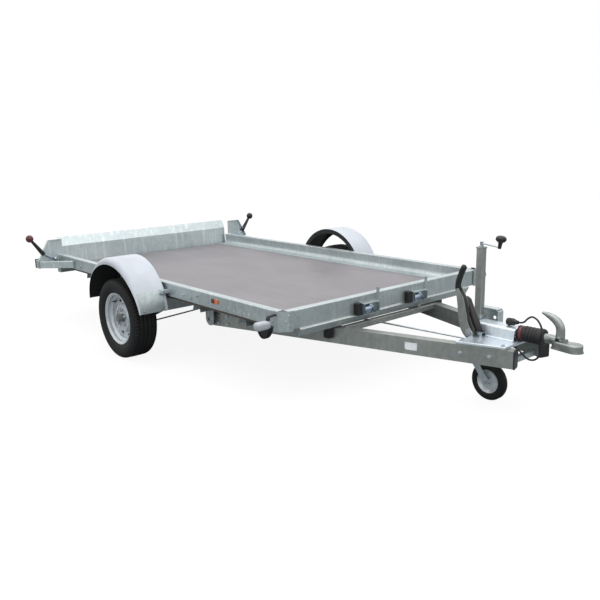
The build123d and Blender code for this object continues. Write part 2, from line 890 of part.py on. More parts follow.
# ---- head: a pressed tray across the beams and the folded housing of the overrun device ----
tray_half_back = beam_y(tray_back)
tray_half_front = beam_y(tray_front)
with BuildPart() as tray:
    with BuildSketch(Plane.XY.offset(beam_top)):
        tray_outline = Polygon(
            (tray_back, -tray_half_back),
            (tray_front, -tray_half_front),
            (tray_front, tray_half_front),
            (tray_back, tray_half_back),
            align=None,
        )
    extrude(amount=tray_rise)
    fillet(tray.edges().group_by(Axis.Z)[-1], 2 * bend)
    with BuildSketch(Plane.XY.offset(beam_top)):
        offset(tray_outline, amount=-plate)
    extrude(amount=tray_rise - plate, mode=Mode.SUBTRACT)
    with Locations((post_x, post_side, beam_top)):
        Box(post_length + 1, post_width + 1, 4 * tray_rise, mode=Mode.SUBTRACT)
save(tray.part, "head_tray")

housing_back = post_x + post_length / 2 + plate
housing_front = tray_front - housing_setback
housing_roof = beam_top + housing_rise - plate
with BuildPart() as housing:
    with BuildSketch(Plane.YZ.offset(housing_back)):
        with BuildLine():
            FilletPolyline(
                (-housing_width, tray_top),
                (-housing_half, tray_top),
                (-housing_half + 2 * bend, housing_roof),
                (housing_half - 2 * bend, housing_roof),
                (housing_half, tray_top),
                (housing_width, tray_top),
                radius=2 * bend,
            )
            offset(amount=plate, side=Side.LEFT, closed=True)
        make_face()
    extrude(amount=housing_front - housing_back)
    # front wall that holds the bellows
    with BuildSketch(Plane.YZ.offset(housing_front - plate)):
        with Locations((0, shaft_height)):
            Circle(bellows_flange - 1)
        with Locations((0, tray_top + 1)):
            Rectangle(2 * shaft_radius, shaft_height - tray_top, align=(Align.CENTER, Align.MIN))
        with Locations((0, shaft_height)):
            Circle(shaft_radius + 1, mode=Mode.SUBTRACT)
    extrude(amount=plate)
save(housing.part, "overrun_housing")

with BuildPart() as shaft:
    with BuildSketch(Plane.YZ.offset(housing_front - shaft_reach / 2)):
        with Locations((0, shaft_height)):
            Circle(shaft_radius)
    extrude(amount=shaft_reach + bellows_length - shaft_reach / 2 + clamp_length)
save(shaft.part, "coupling_shaft")

# bellows: a flange and a row of folds
fold = (bellows_length - 3 * plate) / bellows_folds
with BuildPart() as bellows:
    with BuildSketch(Plane.XZ):
        with BuildLine():
            outline = [(housing_front, shaft_height + bellows_flange), (housing_front + 3 * plate, shaft_height + bellows_flange)]
            for turn in range(bellows_folds):
                start = housing_front + 3 * plate + turn * fold
                outline.append((start, shaft_height + bellows_root))
                outline.append((start + fold / 2, shaft_height + bellows_radius))
            outline.append((housing_front + bellows_length, shaft_height + bellows_root))
            outline.append((housing_front + bellows_length, shaft_height + shaft_radius))
            outline.append((housing_front, shaft_height + shaft_radius))
            Polyline(*outline, close=True)
        make_face()
    revolve(axis=Axis((housing_front, 0, shaft_height), (1, 0, 0)))
save(bellows.part, "bellows")

# coupling head: a pressed cup over the ball, open below, on a clamped tube
cup_x = nose_x - cup_radius - head_lip
cup_floor = shaft_height - cup_height
clamp_x = housing_front + bellows_length + lug_room
clamp_end = clamp_x + clamp_length
lug_top = cup_floor + cup_height + handle_thick
with BuildPart() as head:
    with BuildSketch(Plane.XY.offset(cup_floor)):
        with Locations((cup_x, 0)):
            Circle(cup_radius)
        with Locations((clamp_end, 0)):
            Circle(clamp_radius)
        make_hull()
    extrude(amount=cup_height)
    fillet(head.edges().group_by(Axis.Z)[-1], cup_height / 4)
    with BuildSketch(Plane.XY.offset(cup_floor)):
        with Locations((cup_x, 0)):
            Circle(cup_radius + head_lip)
        with Locations((clamp_end, 0)):
            Circle(clamp_radius + head_lip)
        make_hull()
    extrude(amount=plate)
    with BuildSketch(Plane.YZ.offset(clamp_x)):
        with Locations((0, shaft_height)):
            Circle(clamp_radius)
    extrude(amount=clamp_length)
    with BuildSketch(Plane.XY.offset(cup_floor)):
        with Locations((cup_x, 0)):
            Circle(cup_radius - head_wall)
        with Locations((clamp_end + clamp_radius, 0)):
            Circle(clamp_radius - head_wall)
        make_hull()
    extrude(amount=cup_height - head_wall, mode=Mode.SUBTRACT)
    with BuildSketch(Plane.YZ.offset(clamp_x)):
        with Locations((0, shaft_height)):
            Circle(shaft_radius)
    extrude(amount=clamp_length, mode=Mode.SUBTRACT)
    # lug of the locking handle
    with BuildSketch(upright(-handle_thick / 2)):
        with Locations((cup_x - cup_radius - handle_thick, lug_top - handle_thick)):
            Rectangle(2 * handle_thick, 2 * handle_thick)
    extrude(amount=-handle_thick)
save(head.part, "coupling_head")

handle_x = cup_x - cup_radius - handle_thick
handle_z = lug_top
with BuildPart() as handle:
    with BuildLine():
        curve = Spline(
            (handle_x, 0, handle_z),
            (handle_x, 0, handle_z + 2 * handle_thick),
            (handle_x - 4 * handle_thick, 0, handle_z + 5.5 * handle_thick),
            (handle_x - 9 * handle_thick, 0, handle_z + 7 * handle_thick),
            tangents=[(0, 0, 1), (-1, 0, 0.25)],
        )
    with BuildSketch(Plane(curve @ 0, x_dir=(0, 1, 0), z_dir=curve % 0)):
        RectangleRounded(handle_width, handle_thick, handle_thick / 3)
    sweep()
save(handle.part, "coupling_handle")

# ---- jack ----
with BuildPart() as post:
    with Locations((post_x, post_side, (post_top + post_bottom) / 2)):
        Box(post_length, post_width, post_top - post_bottom)
    fillet(post.edges().filter_by(Axis.Z), bend)
    with Locations((post_x, post_side, (post_top + post_bottom) / 2 - post_wall)):
        Box(post_length - 2 * post_wall, post_width - 2 * post_wall, post_top - post_bottom, mode=Mode.SUBTRACT)
save(post.part, "jack_post")

# folded bracket that clamps the post from the far side
bracket_y = post_side + post_width / 2
bracket_x = post_x - post_length / 2
with BuildPart() as side_bracket:
    with Locations((bracket_x + side_bracket_length / 2, bracket_y + side_bracket_depth / 2, tray_top + side_bracket_height / 2)):
        Box(side_bracket_length, side_bracket_depth, side_bracket_height)
    fillet(side_bracket.edges().filter_by(Axis.Y).sort_by(lambda edge: edge.center().X + edge.center().Z)[-1], 4 * bend)
    with Locations((bracket_x + side_bracket_length / 2 - plate / 2, bracket_y + (side_bracket_depth - plate) / 2, tray_top + (side_bracket_height - plate) / 2)):
        Box(side_bracket_length - plate, side_bracket_depth - plate, side_bracket_height - plate, mode=Mode.SUBTRACT)
    with BuildSketch(upright(bracket_y + side_bracket_depth)):
        with Locations((bracket_x + side_bracket_length - side_bracket_depth, tray_top + side_bracket_height / 2)):
            Circle(2 * bend)
    extrude(amount=2 * plate, mode=Mode.SUBTRACT)
save(side_bracket.part, "jack_bracket")

with BuildPart() as crank:
    with Locations((post_x, post_side, post_top)):
        Cylinder(crank_radius, crank_rise, align=(Align.CENTER, Align.CENTER, Align.MIN))
    with BuildSketch(Plane.XY.offset(post_top + crank_radius)):
        with Locations((post_x + crank_throw / 2, post_side)):
            SlotOverall(crank_throw + 2 * crank_radius, 2 * crank_radius)
    extrude(amount=crank_radius)
save(crank.part, "jack_crank")

knob_x = post_x + crank_throw
knob_z = post_top + 2 * crank_radius
with BuildPart() as knob:
    with BuildSketch(upright(post_side)):
        with BuildLine():
            Polyline(
                (knob_x, knob_z),
                (knob_x + knob_radius / 2, knob_z),
                (knob_x + knob_radius / 3, knob_z + knob_height / 2),
                (knob_x + knob_radius, knob_z + knob_height * 0.7),
                (knob_x + knob_radius, knob_z + knob_height * 0.85),
                (knob_x + knob_radius * 0.6, knob_z + knob_height),
                (knob_x, knob_z + knob_height),
                close=True,
            )
        make_face()
    revolve(axis=Axis((knob_x, post_side, 0), (0, 0, 1)))
save(knob.part, "jack_knob")

with BuildPart() as inner_tube:
    tube_room = 2 * post_wall + 2 * inner_gap
    with Locations((post_x, post_side, fork_top + fork_plate + inner_length / 2)):
        Box(post_length - tube_room, post_width - tube_room, inner_length)
    fillet(inner_tube.edges().filter_by(Axis.Z), bend)
save(inner_tube.part, "jack_inner_tube")

fork_half = jockey_width / 2 + fork_room
with BuildPart() as fork:
    with BuildSketch(Plane.XY.offset(fork_top)):
        with Locations((post_x, post_side)):
            Rectangle(post_length - tube_room, 2 * (fork_half + fork_plate))
    extrude(amount=fork_plate)
    for reach in (-1, 1):
        with BuildSketch(upright(post_side + reach * (fork_half + fork_plate / 2))):
            with Locations((post_x, fork_top + fork_plate / 2)):
                Rectangle(post_length - tube_room, fork_plate)
            with Locations((jockey_x, jockey_radius)):
                Circle(2 * jockey_pin_radius + 2)
            make_hull()
            with Locations((jockey_x, jockey_radius)):
                Circle(jockey_pin_radius, mode=Mode.SUBTRACT)
        extrude(amount=fork_plate / 2, both=True)
save(fork.part, "jockey_fork")

with BuildPart() as jockey_tyre:
    with BuildSketch(Plane((jockey_x, post_side, jockey_radius), x_dir=(1, 0, 0), z_dir=(0, 0, 1))):
        with BuildLine():
            Polyline(
                (jockey_rim_radius, -jockey_width / 2 + 6),
                (jockey_rim_radius, jockey_width / 2 - 6),
                (jockey_rim_radius + 12, jockey_width / 2),
                (jockey_radius - 14, jockey_width / 2),
                (jockey_radius, jockey_width / 2 - 14),
                (jockey_radius, 14 - jockey_width / 2),
                (jockey_radius - 14, -jockey_width / 2),
                (jockey_rim_radius + 12, -jockey_width / 2),
                close=True,
            )
        make_face()
    revolve(axis=Axis((jockey_x, post_side, jockey_radius), (0, 1, 0)))
save(jockey_tyre.part, "jockey_tyre")

with BuildPart() as jockey_rim:
    with BuildSketch(Plane((jockey_x, post_side, jockey_radius), x_dir=(1, 0, 0), z_dir=(0, 0, 1))):
        with BuildLine():
            Polyline(
                (jockey_pin_radius + jockey_play, -fork_half + 1),
                (2 * jockey_pin_radius, -fork_half + 1),
                (2 * jockey_pin_radius, -jockey_width / 8),
                (jockey_rim_radius - 16, -jockey_width / 8),
                (jockey_rim_radius, 6 - jockey_width / 2),
                (jockey_rim_radius, jockey_width / 2 - 6),
                (jockey_rim_radius - 16, jockey_width / 8),
                (2 * jockey_pin_radius, jockey_width / 8),
                (2 * jockey_pin_radius, fork_half - 1),
                (jockey_pin_radius + jockey_play, fork_half - 1),
                close=True,
            )
        make_face()
    revolve(axis=Axis((jockey_x, post_side, jockey_radius), (0, 1, 0)))
save(jockey_rim.part, "jockey_rim")

with BuildPart() as jockey_pin:
    with Locations((jockey_x, post_side, jockey_radius)):
        Cylinder(jockey_pin_radius, 2 * (fork_half + 3 * fork_plate), rotation=(90, 0, 0))
save(jockey_pin.part, "jockey_pin")

# ---- hand brake: a channel lever with a curved grip and a gas strut ----
lever_foot = (axle_x + lever_foot_ahead, tray_top + lever_channel / 2 - plate)
lever_knee = (axle_x + lever_knee_ahead, lever_knee_height)
lever_top = (axle_x + lever_top_ahead, lever_top_height)
with BuildPart() as lever:
    with BuildSketch(upright(-lever_side - lever_depth / 2)) as lever_outline:
        with Locations(lever_foot):
            Circle(lever_channel / 2 - plate)
        with Locations(lever_knee):
            Circle(lever_channel / 2)
        make_hull()
        with BuildSketch(mode=Mode.PRIVATE) as shank:
            with Locations(lever_knee):
                Circle(lever_channel / 2)
            with Locations(lever_top):
                Circle(lever_channel / 2 - plate)
            make_hull()
        add(shank.sketch)
    extrude(amount=-lever_depth)
    with BuildSketch(upright(-lever_side - lever_depth / 2 + plate)):
        offset(lever_outline.sketch, amount=-plate)
    extrude(amount=-lever_depth, mode=Mode.SUBTRACT)
save(lever.part, "handbrake_lever")

grip_top = (lever_top[0] + grip_lean, lever_top[1] + grip_rise)
with BuildPart() as grip:
    with BuildLine():
        curve = Spline(
            (lever_top[0], -lever_side, lever_top[1] + lever_channel / 2 - plate),
            (lever_top[0] + grip_lean / 4, -lever_side, lever_top[1] + 0.6 * grip_rise),
            (grip_top[0], -lever_side, grip_top[1]),
            tangents=[(0, 0, 1), (grip_lean, 0, grip_rise / 2)],
        )
    with BuildSketch(Plane(curve @ 0, x_dir=(0, 1, 0), z_dir=curve % 0)):
        Circle(grip_bar_radius)
    sweep()
    fillet(grip.edges().sort_by(Axis.Z)[-1], grip_bar_radius / 2)
save(grip.part, "handbrake_grip")

strut_side = -lever_side + lever_depth / 2 + strut_radius + 1
strut_top = Vector(axle_x + strut_top_ahead, strut_side, strut_top_height)
strut_foot = Vector(axle_x + strut_foot_ahead, strut_side, tray_top + plate + strut_foot_size / 2)
with BuildPart() as strut:
    with BuildSketch(Plane(strut_foot, z_dir=strut_top - strut_foot)):
        Circle(strut_radius)
    extrude(amount=(strut_top - strut_foot).length * 0.66)
    with BuildSketch(Plane(strut_foot, z_dir=strut_top - strut_foot)):
        Circle(strut_rod_radius)
    extrude(amount=(strut_top - strut_foot).length)
    with Locations(strut_foot):
        Box(strut_foot_size, strut_foot_size, strut_foot_size)
    # bolt through the lever's channel
    with BuildSketch(upright(-lever_side - lever_depth / 2 + plate)):
        with Locations((strut_top.X, strut_top.Z)):
            Circle(strut_bolt_radius)
    extrude(amount=lever_side + lever_depth / 2 - plate + strut_side - 2 * (lever_side + lever_depth / 2 - plate) - 2 * strut_side)
save(strut.part, "gas_strut")

# ---- brake rod on the drawbar, linkage and cables on the bed ----
rod_front = Vector(*rod_point(axle_x + rod_front_ahead))
rod_rear = Vector(*rod_point(pivot_x))
with BuildPart() as brake_rod:
    with BuildSketch(Plane(rod_rear, z_dir=rod_front - rod_rear)):
        Circle(rod_radius)
    extrude(amount=(rod_front - rod_rear).length)
    with BuildSketch(upright(-rod_rear_side)):
        with Locations((pivot_x, pivot_z)):
            Circle(eye_radius)
    extrude(amount=eye_thick / 2, both=True)
    with BuildSketch(upright(-rod_rear_side)):
        with Locations((pivot_x, pivot_z)):
            Circle(eye_pin_radius + eye_play)
    extrude(amount=eye_thick, both=True, mode=Mode.SUBTRACT)
    # arm up to the overrun housing
    with Locations((rod_front.X, rod_front.Y, rod_front.Z - rod_radius)):
        Box(2 * rod_radius, 3 * rod_radius, tray_top - plate - rod_front.Z + rod_radius, align=(Align.CENTER, Align.CENTER, Align.MIN))
save(brake_rod.part, "brake_rod")

equaliser_x = axle_x + equaliser_ahead
with BuildPart() as linkage:
    for reach in (-1, 1):
        with BuildSketch(upright(-rod_rear_side + reach * (eye_thick / 2 + 2 + plate / 2))):
            with Locations((pivot_x, pivot_z)):
                Circle(eye_radius - 2)
            with Locations((pivot_x - 3 * eye_radius, pivot_z - 2)):
                Circle(rod_radius)
            make_hull()
        extrude(amount=plate / 2, both=True)
    with Locations((pivot_x - 3 * eye_radius, -rod_rear_side, pivot_z - 2)):
        Box(4 * rod_radius, eye_thick + 4, 2 * rod_radius)
    with BuildSketch(upright(-rod_rear_side)):
        with Locations((pivot_x, pivot_z)):
            Circle(eye_pin_radius)
    extrude(amount=eye_thick / 2 + 2 + 2 * plate, both=True)
    rear_end = Vector(pivot_x - 3 * eye_radius, -rod_rear_side, pivot_z - 2)
    front_end = Vector(equaliser_x, -rod_rear_side, equaliser_z)
    with BuildSketch(Plane(front_end, z_dir=rear_end - front_end)):
        Circle(rod_radius)
    extrude(amount=(rear_end - front_end).length)
    with Locations((equaliser_x, -rod_rear_side, equaliser_z)):
        Box(equaliser_size, 2 * equaliser_half + equaliser_size, equaliser_size)
save(linkage.part, "brake_linkage")

with BuildPart() as cables:
    for side in (-1, 1):
        inner = -rod_rear_side + side * equaliser_half
        with BuildLine():
            route = FilletPolyline(
                (equaliser_x - equaliser_size / 2, inner, equaliser_z),
                (tube_x - tube_size / 2, inner, equaliser_z),
                (axle_x + cable_low_ahead, side * cable_low_side, cable_low_z),
                (axle_x + cable_arm_ahead, side * cable_arm_side, cable_end_z),
                (axle_x + cable_end_ahead, side * cable_end_side, cable_end_z),
                (axle_x + cable_end_ahead, side * plate_in, cable_end_z),
                radius=cable_bend,
            )
        with BuildSketch(Plane(route @ 0, z_dir=route % 0)):
            Circle(cable_radius)
        sweep(path=route)
save(cables.part, "brake_cables")

# ---- plug and its lead ----
lead_route = (
    (2352, -60, 387),
    (2412, -60, 387),
    (2478, -63, 366),
    (2532, -66, 320),
    (2590, -68, 334),
    (2612, -66, 402),
    (2608, -56, 474),
    (2574, -40, 530),
    (2524, -24, 547),
    (2488, -12, 524),
    (2464, -6, 495),
    (2434, -3, 492),
)
with BuildPart() as lead:
    runs = [Vector(axle_x + x, y, z) for x, y, z in lead_route]
    radii = []
    for before, corner, after in zip(runs, runs[1:], runs[2:]):
        shorter = min((corner - before).length, (after - corner).length)
        half_turn = math.radians((corner - before).get_angle(after - corner) / 2)
        radii.append(0.45 * shorter / math.tan(half_turn))
    print("lead radii", [round(radius) for radius in radii])
    with BuildLine():
        lead_path = FilletPolyline(*runs, radius=radii)
    with BuildSketch(Plane(lead_path @ 0, z_dir=lead_path % 0)):
        Circle(lead_radius)
    sweep(path=lead_path)
print("lead length", round(lead_path.length), "volume ratio", lead.part.volume / (lead_path.length * math.pi * lead_radius**2))
save(lead.part, "plug_lead")

plug_axis = lead_path % 1
plug_plane = Plane(lead_path @ 1, z_dir=plug_axis)
with BuildPart() as plug:
    with BuildSketch(plug_plane):
        Circle(plug_neck_radius)
    with BuildSketch(plug_plane.offset(plug_neck)):
        Circle(plug_radius - 4)
    loft()
    with BuildSketch(plug_plane.offset(plug_neck)):
        Circle(plug_radius)
    extrude(amount=plug_length - plug_neck)
save(plug.part, "plug")

# ---- front position lamps on rubber arms ----
arm_x = front_x - corner_leg / 2 - corner_cut / 2
corner_face = half_bed + 2 * plate
with BuildPart() as position_lamps:
    for side in (-1, 1):
        with Locations((arm_x, side * (corner_face + lamp_arm_reach / 2), lamp_arm_height)):
            Box(lamp_arm_width, lamp_arm_reach, lamp_arm_thick)
        with Locations((arm_x, side * (corner_face + lamp_arm_reach - lamp_arm_thick / 2), lamp_arm_height - lamp_head_drop / 2)):
            Box(lamp_arm_width, lamp_arm_thick, lamp_head_drop)
        with BuildPart(mode=Mode.PRIVATE) as lamp_head:
            with Locations((arm_x, side * (corner_face + lamp_arm_reach + lamp_head_reach / 2), lamp_arm_height - lamp_head_drop)):
                Box(lamp_head_length, lamp_head_reach, lamp_head_height)
            fillet(lamp_head.edges().filter_by(Axis.X), lamp_head_height / 4)
        add(lamp_head.part)
save(position_lamps.part, "position_lamps")

# ---- wheel chock carried under the deck ----
chock_x = axle_x + chock_ahead
with BuildPart() as chock:
    with BuildSketch(upright(-chock_side - chock_width / 2)) as chock_outline:
        with Locations((chock_x, deck_bottom - chock_height + chock_length / 2)):
            Circle(chock_length / 2)
        with Locations((chock_x, deck_bottom - (chock_height - chock_length / 2) / 2)):
            Rectangle(chock_length, chock_height - chock_length / 2)
        with Locations((chock_x, deck_bottom)):
            Rectangle(chock_length, chock_length, align=(Align.CENTER, Align.MIN), mode=Mode.SUBTRACT)
    extrude(amount=-chock_width)
    with BuildSketch(upright(-chock_side - chock_width / 2 + chock_wall)):
        offset(chock_outline.sketch, amount=-chock_wall)
    extrude(amount=-chock_width, mode=Mode.SUBTRACT)
save(chock.part, "wheel_chock")

# ---- front latches on the sill ----
bar_top = rim_top + latch_bar_top
with BuildPart() as latches:
    for side in (-1, 1):
        middle = side * latch_half
        with Locations((front_x + latch_depth / 2, middle, latch_z)):
            Box(latch_depth, latch_width, latch_height)
        with Locations((front_x + latch_depth / 2 + plate, middle + plate, latch_z)):
            Box(latch_depth, latch_width, latch_height - 2 * plate, mode=Mode.SUBTRACT)
        # front wall over the first half of the box, the sliding bolt beside it
        with Locations((front_x + latch_depth - plate / 2, middle - latch_width / 5, latch_z)):
            Box(plate, latch_width * 0.6, latch_height)
        with Locations((front_x + plate + (latch_depth - plate) / 2, middle + latch_width / 4, latch_z)):
            Cylinder(latch_depth / 4, latch_height)
        with Locations((front_x + plate / 2, middle + latch_width / 2 - latch_bar / 4, (bar_top + latch_z) / 2)):
            Box(plate, latch_bar, bar_top - latch_z)
    add(flap.part, mode=Mode.SUBTRACT)
save(latches.part, "front_latches")

with BuildPart() as pads:
    for side in (-1, 1):
        with Locations((front_x + pad_depth / 2, side * latch_half - (latch_width + pad_width) / 2, latch_z + plate)):
            Box(pad_depth, pad_width, pad_height)
    add(flap.part, mode=Mode.SUBTRACT)
save(pads.part, "latch_pads")
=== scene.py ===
import math

import bpy
import numpy as np
from mathutils import Matrix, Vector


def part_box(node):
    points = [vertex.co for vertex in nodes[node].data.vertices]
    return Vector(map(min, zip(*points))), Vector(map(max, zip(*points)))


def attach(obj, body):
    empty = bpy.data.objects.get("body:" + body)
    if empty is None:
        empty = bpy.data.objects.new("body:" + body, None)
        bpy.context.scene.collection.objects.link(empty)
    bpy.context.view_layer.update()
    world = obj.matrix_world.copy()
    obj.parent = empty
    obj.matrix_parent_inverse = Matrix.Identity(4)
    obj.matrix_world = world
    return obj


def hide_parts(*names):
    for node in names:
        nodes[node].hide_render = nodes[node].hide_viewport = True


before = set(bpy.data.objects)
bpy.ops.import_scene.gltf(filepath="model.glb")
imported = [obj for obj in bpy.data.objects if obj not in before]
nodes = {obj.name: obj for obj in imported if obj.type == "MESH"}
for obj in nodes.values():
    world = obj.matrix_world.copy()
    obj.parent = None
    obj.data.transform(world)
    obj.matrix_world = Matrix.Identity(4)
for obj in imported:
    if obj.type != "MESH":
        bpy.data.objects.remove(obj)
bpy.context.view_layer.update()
print("frame loaded with", len(nodes), "nodes")

scene = bpy.context.scene
boxOf = {name: (np.array(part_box(name)[0]), np.array(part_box(name)[1])) for name in nodes}
wheelMiddle = (boxOf["tyre_right"][0] + boxOf["tyre_right"][1]) / 2
axleX = float(wheelMiddle[0])


def linearColour(hexText):
    # each channel: divided by 12.92 below 0.04045, and above it ((c + 0.055) / 1.055) to the power 2.4
    channels = np.array([int(hexText[i:i + 2], 16) for i in (1, 3, 5)]) / 255
    low = channels / 12.92
    high = ((channels + 0.055) / 1.055) ** 2.4
    return (*np.where(channels <= 0.04045, low, high), 1.0)


def addNode(tree, kind, settings=None, links=None):
    # settings go to the node's own values or its sockets, links come from (node, output)
    node = tree.nodes.new(kind)
    for key, value in (settings or {}).items():
        if key == "stops":
            stops = node.color_ramp.elements
            while len(stops) < len(value):
                stops.new(0.5)
            for stop, (place, colour) in zip(stops, value):
                stop.position = place
                stop.color = linearColour(colour) if isinstance(colour, str) else (colour,) * 3 + (1,)
        elif isinstance(key, str) and hasattr(node, key):
            setattr(node, key, value)
        else:
            node.inputs[key].default_value = value
    for key, (source, output) in (links or {}).items():
        tree.links.new(source.outputs[output], node.inputs[key])
    return node


def startMaterial(name, shaderSettings):
    material = bpy.data.materials.new(name)
    material.use_nodes = True
    tree = material.node_tree
    tree.nodes.clear()
    shader = addNode(tree, "ShaderNodeBsdfPrincipled", shaderSettings)
    addNode(tree, "ShaderNodeOutputMaterial", {}, {"Surface": (shader, "BSDF")})
    place = addNode(tree, "ShaderNodeTexCoord")
    return material, tree, shader, place


def feedShader(tree, shader, sources):
    # links each of the shader's sockets to the (node, output) that feeds it
    for socket, (source, output) in sources.items():
        tree.links.new(source.outputs[output], shader.inputs[socket])


def meshFromArrays(name, points, faces, material, smooth=True):
    # a linked object at the origin, its places kept in its mesh
    mesh = bpy.data.meshes.new(name)
    mesh.from_pydata(np.asarray(points, float).tolist(), [], [tuple(face) for face in faces])
    mesh.validate()
    mesh.materials.append(material)
    mesh.polygons.foreach_set("use_smooth", np.full(len(mesh.polygons), smooth))
    obj = bpy.data.objects.new(name, mesh)
    scene.collection.objects.link(obj)
    return obj


def gridFaces(rows, columns, closeRows=False, closeColumns=False):
    # quad (i, j) joins point i, j with its neighbours one row and one column on
    i = np.arange(rows if closeRows else rows - 1)[:, None]
    j = np.arange(columns if closeColumns else columns - 1)[None, :]
    nextI, nextJ = (i + 1) % rows, (j + 1) % columns
    corners = (i * columns + j, nextI * columns + j, nextI * columns + nextJ, i * columns + nextJ)
    return np.stack(np.broadcast_arrays(*corners), -1).reshape(-1, 4).tolist()


def cappedFaces(rings, count):
    # rings of points joined by quads, with one flat face over each end
    faces = [face[::-1] for face in gridFaces(rings, count, closeColumns=True)]
    last = (rings - 1) * count
    return faces + [list(range(count))[::-1], list(range(last, last + count))]


def smoothProfile(corners, count):
    # corners cut three times, each at a quarter of its sides, then points at equal steps of length
    line = np.array(corners, float)
    for _ in range(3):
        ahead = line[:-1] * 0.75 + line[1:] * 0.25
        behind = line[:-1] * 0.25 + line[1:] * 0.75
        middle = np.stack([ahead, behind], 1).reshape(-1, line.shape[1])
        line = np.vstack([line[:1], middle, line[-1:]])
    steps = np.r_[0, np.cumsum(np.linalg.norm(np.diff(line, axis=0), axis=1))]
    wanted = np.linspace(0, steps[-1], count)
    return np.stack([np.interp(wanted, steps, line[:, k]) for k in range(line.shape[1])], 1)


def framesAlong(directions):
    # three unit axes for each direction: two across it and itself, as columns
    direction = directions / np.linalg.norm(directions, axis=-1, keepdims=True)
    helper = np.where(np.abs(direction[..., 2:]) < 0.9, [[0, 0, 1.0]], [[1.0, 0, 0]])
    side = np.cross(helper, direction)
    side /= np.linalg.norm(side, axis=-1, keepdims=True)
    return np.stack([side, np.cross(direction, side), direction], -1)


def placeMany(name, template, centres, directions, material, smooth=False):
    # every copy is the template's points turned to its direction and moved to its centre, all at once
    points, faces = template
    centres, directions = np.atleast_2d(centres), np.atleast_2d(directions)
    directions = np.broadcast_to(directions, centres.shape).astype(float)
    turned = np.einsum("nij,kj->nki", framesAlong(directions), points) + centres[:, None]
    allFaces = [
        [corner + copy * len(points) for corner in face] for copy in range(len(centres)) for face in faces
    ]
    return meshFromArrays(name, turned.reshape(-1, 3), allFaces, material, smooth)


def turnedTemplate(profile, sides, phase=0.0):
    # profile of (radius, height) pairs carried once round the axis, closed by a flat face at each end
    profile = np.array(profile, float)
    turn = phase + np.arange(sides) * 2 * math.pi / sides
    radius, height = profile[:, 0][:, None], profile[:, 1][:, None]
    height = np.broadcast_to(height, (len(profile), sides))
    points = np.stack([radius * np.cos(turn), radius * np.sin(turn), height], -1)
    return points.reshape(-1, 3), cappedFaces(len(profile), sides)


def joinTemplates(*templates):
    # points stacked, with each part's faces counted on from the points before it
    points, faces, count = [], [], 0
    for part, partFaces in templates:
        points.append(part)
        faces += [[corner + count for corner in face] for face in partFaces]
        count += len(part)
    return np.vstack(points), faces


def quarterTurns(steps):
    # the angles round four quarter circles, and the corner that each belongs to
    angle = np.concatenate([np.linspace(0, math.pi / 2, steps) + quarter * math.pi / 2 for quarter in range(4)])
    return angle, np.repeat(np.array([[1, 1], [-1, 1], [-1, -1], [1, -1]]), steps, 0)


def roundedSlab(width, height, depth, corner, rimRound, sections=6):
    # rounded rectangle carried up in rings that shrink by the rim's quarter circle near the top
    angle, offsets = quarterTurns(sections)
    rings = [(0.0, 0.0)]
    for a in np.linspace(0, math.pi / 2, 5):
        rings.append((rimRound * (1 - math.cos(a)), depth - rimRound + rimRound * math.sin(a)))
    layers = []
    for inset, level in rings:
        reach = np.array([width / 2 - corner, height / 2 - corner])
        radius = max(corner - inset, 1e-5)
        flat = offsets * reach + radius * np.stack([np.cos(angle), np.sin(angle)], -1)
        layers.append(np.column_stack([flat, np.full(len(flat), level)]))
    return np.vstack(layers), cappedFaces(len(rings), len(angle))


def hexBolt(across, headHeight, washer):
    # washer disc below a six-sided head with a chamfered top
    corner = across / math.sqrt(3)
    disc = turnedTemplate([(washer, 0), (washer, 0.0012), (washer * 0.97, 0.0016)], 20)
    profile = [(corner, 0.0014), (corner, 0.0016 + headHeight * 0.8), (corner * 0.86, 0.0016 + headHeight)]
    return joinTemplates(disc, turnedTemplate(profile, 6, 0.3))


def domeHead(radius, rise):
    # a quarter ellipse turned round, stopped just short of its pole
    arc = np.linspace(0, math.pi / 2 * 0.94, 5)
    return turnedTemplate([(radius * math.cos(a), rise * math.sin(a)) for a in arc], 16)


def roundSection(radius, sides=20):
    # circle of equal steps, counterclockwise
    turn = np.arange(sides) * 2 * math.pi / sides
    return radius * np.stack([np.cos(turn), np.sin(turn)], -1)


def boxSection(width, height, corner, steps=4):
    # rectangle with quarter circles at its corners, counterclockwise
    angle, offsets = quarterTurns(steps)
    reach = offsets * [width / 2 - corner, height / 2 - corner]
    return reach + corner * np.stack([np.cos(angle), np.sin(angle)], -1)


def carried(section, path, upHint=(0, 0, 1), wide=1.0, tall=1.0):
    # point (i, j) = path point i + section point j on two axes square to the path, stretched by wide and tall
    section, path = np.array(section, float), np.array(path, float)
    ahead = np.gradient(path, axis=0)
    ahead /= np.linalg.norm(ahead, axis=1, keepdims=True)
    upHint = np.array(upHint, float)
    up = upHint - (ahead @ upHint)[:, None] * ahead
    up /= np.linalg.norm(up, axis=1, keepdims=True)
    side = np.cross(up, ahead)
    wide, tall = (np.broadcast_to(np.asarray(scale, float), len(path))[:, None, None] for scale in (wide, tall))
    sideways = side[:, None] * section[None, :, :1] * wide
    upwards = up[:, None] * section[None, :, 1:] * tall
    return (path[:, None] + sideways + upwards).reshape(-1, 3), cappedFaces(len(path), len(section))


def upright(section, x, y, low, high):
    # section carried straight up between two levels
    return carried(section, [[x, y, low], [x, y, high]], (-1, 0, 0))


def block(low, high, corner=0.0015):
    # box between two corners, carried upwards with rounded upright edges
    low, high = np.minimum(low, high).astype(float), np.maximum(low, high).astype(float)
    middle = (low + high) / 2
    section = boxSection(high[1] - low[1], high[0] - low[0], min(corner, (high - low)[:2].min() * 0.45), 3)
    return upright(section, middle[0], middle[1], low[2], high[2])


def turnedAt(profile, centre, axis, sides=24):
    # surface of revolution set at a centre along an axis
    points, faces = turnedTemplate(profile, sides)
    return points @ framesAlong(np.array([axis], float))[0].T + np.array(centre, float), faces


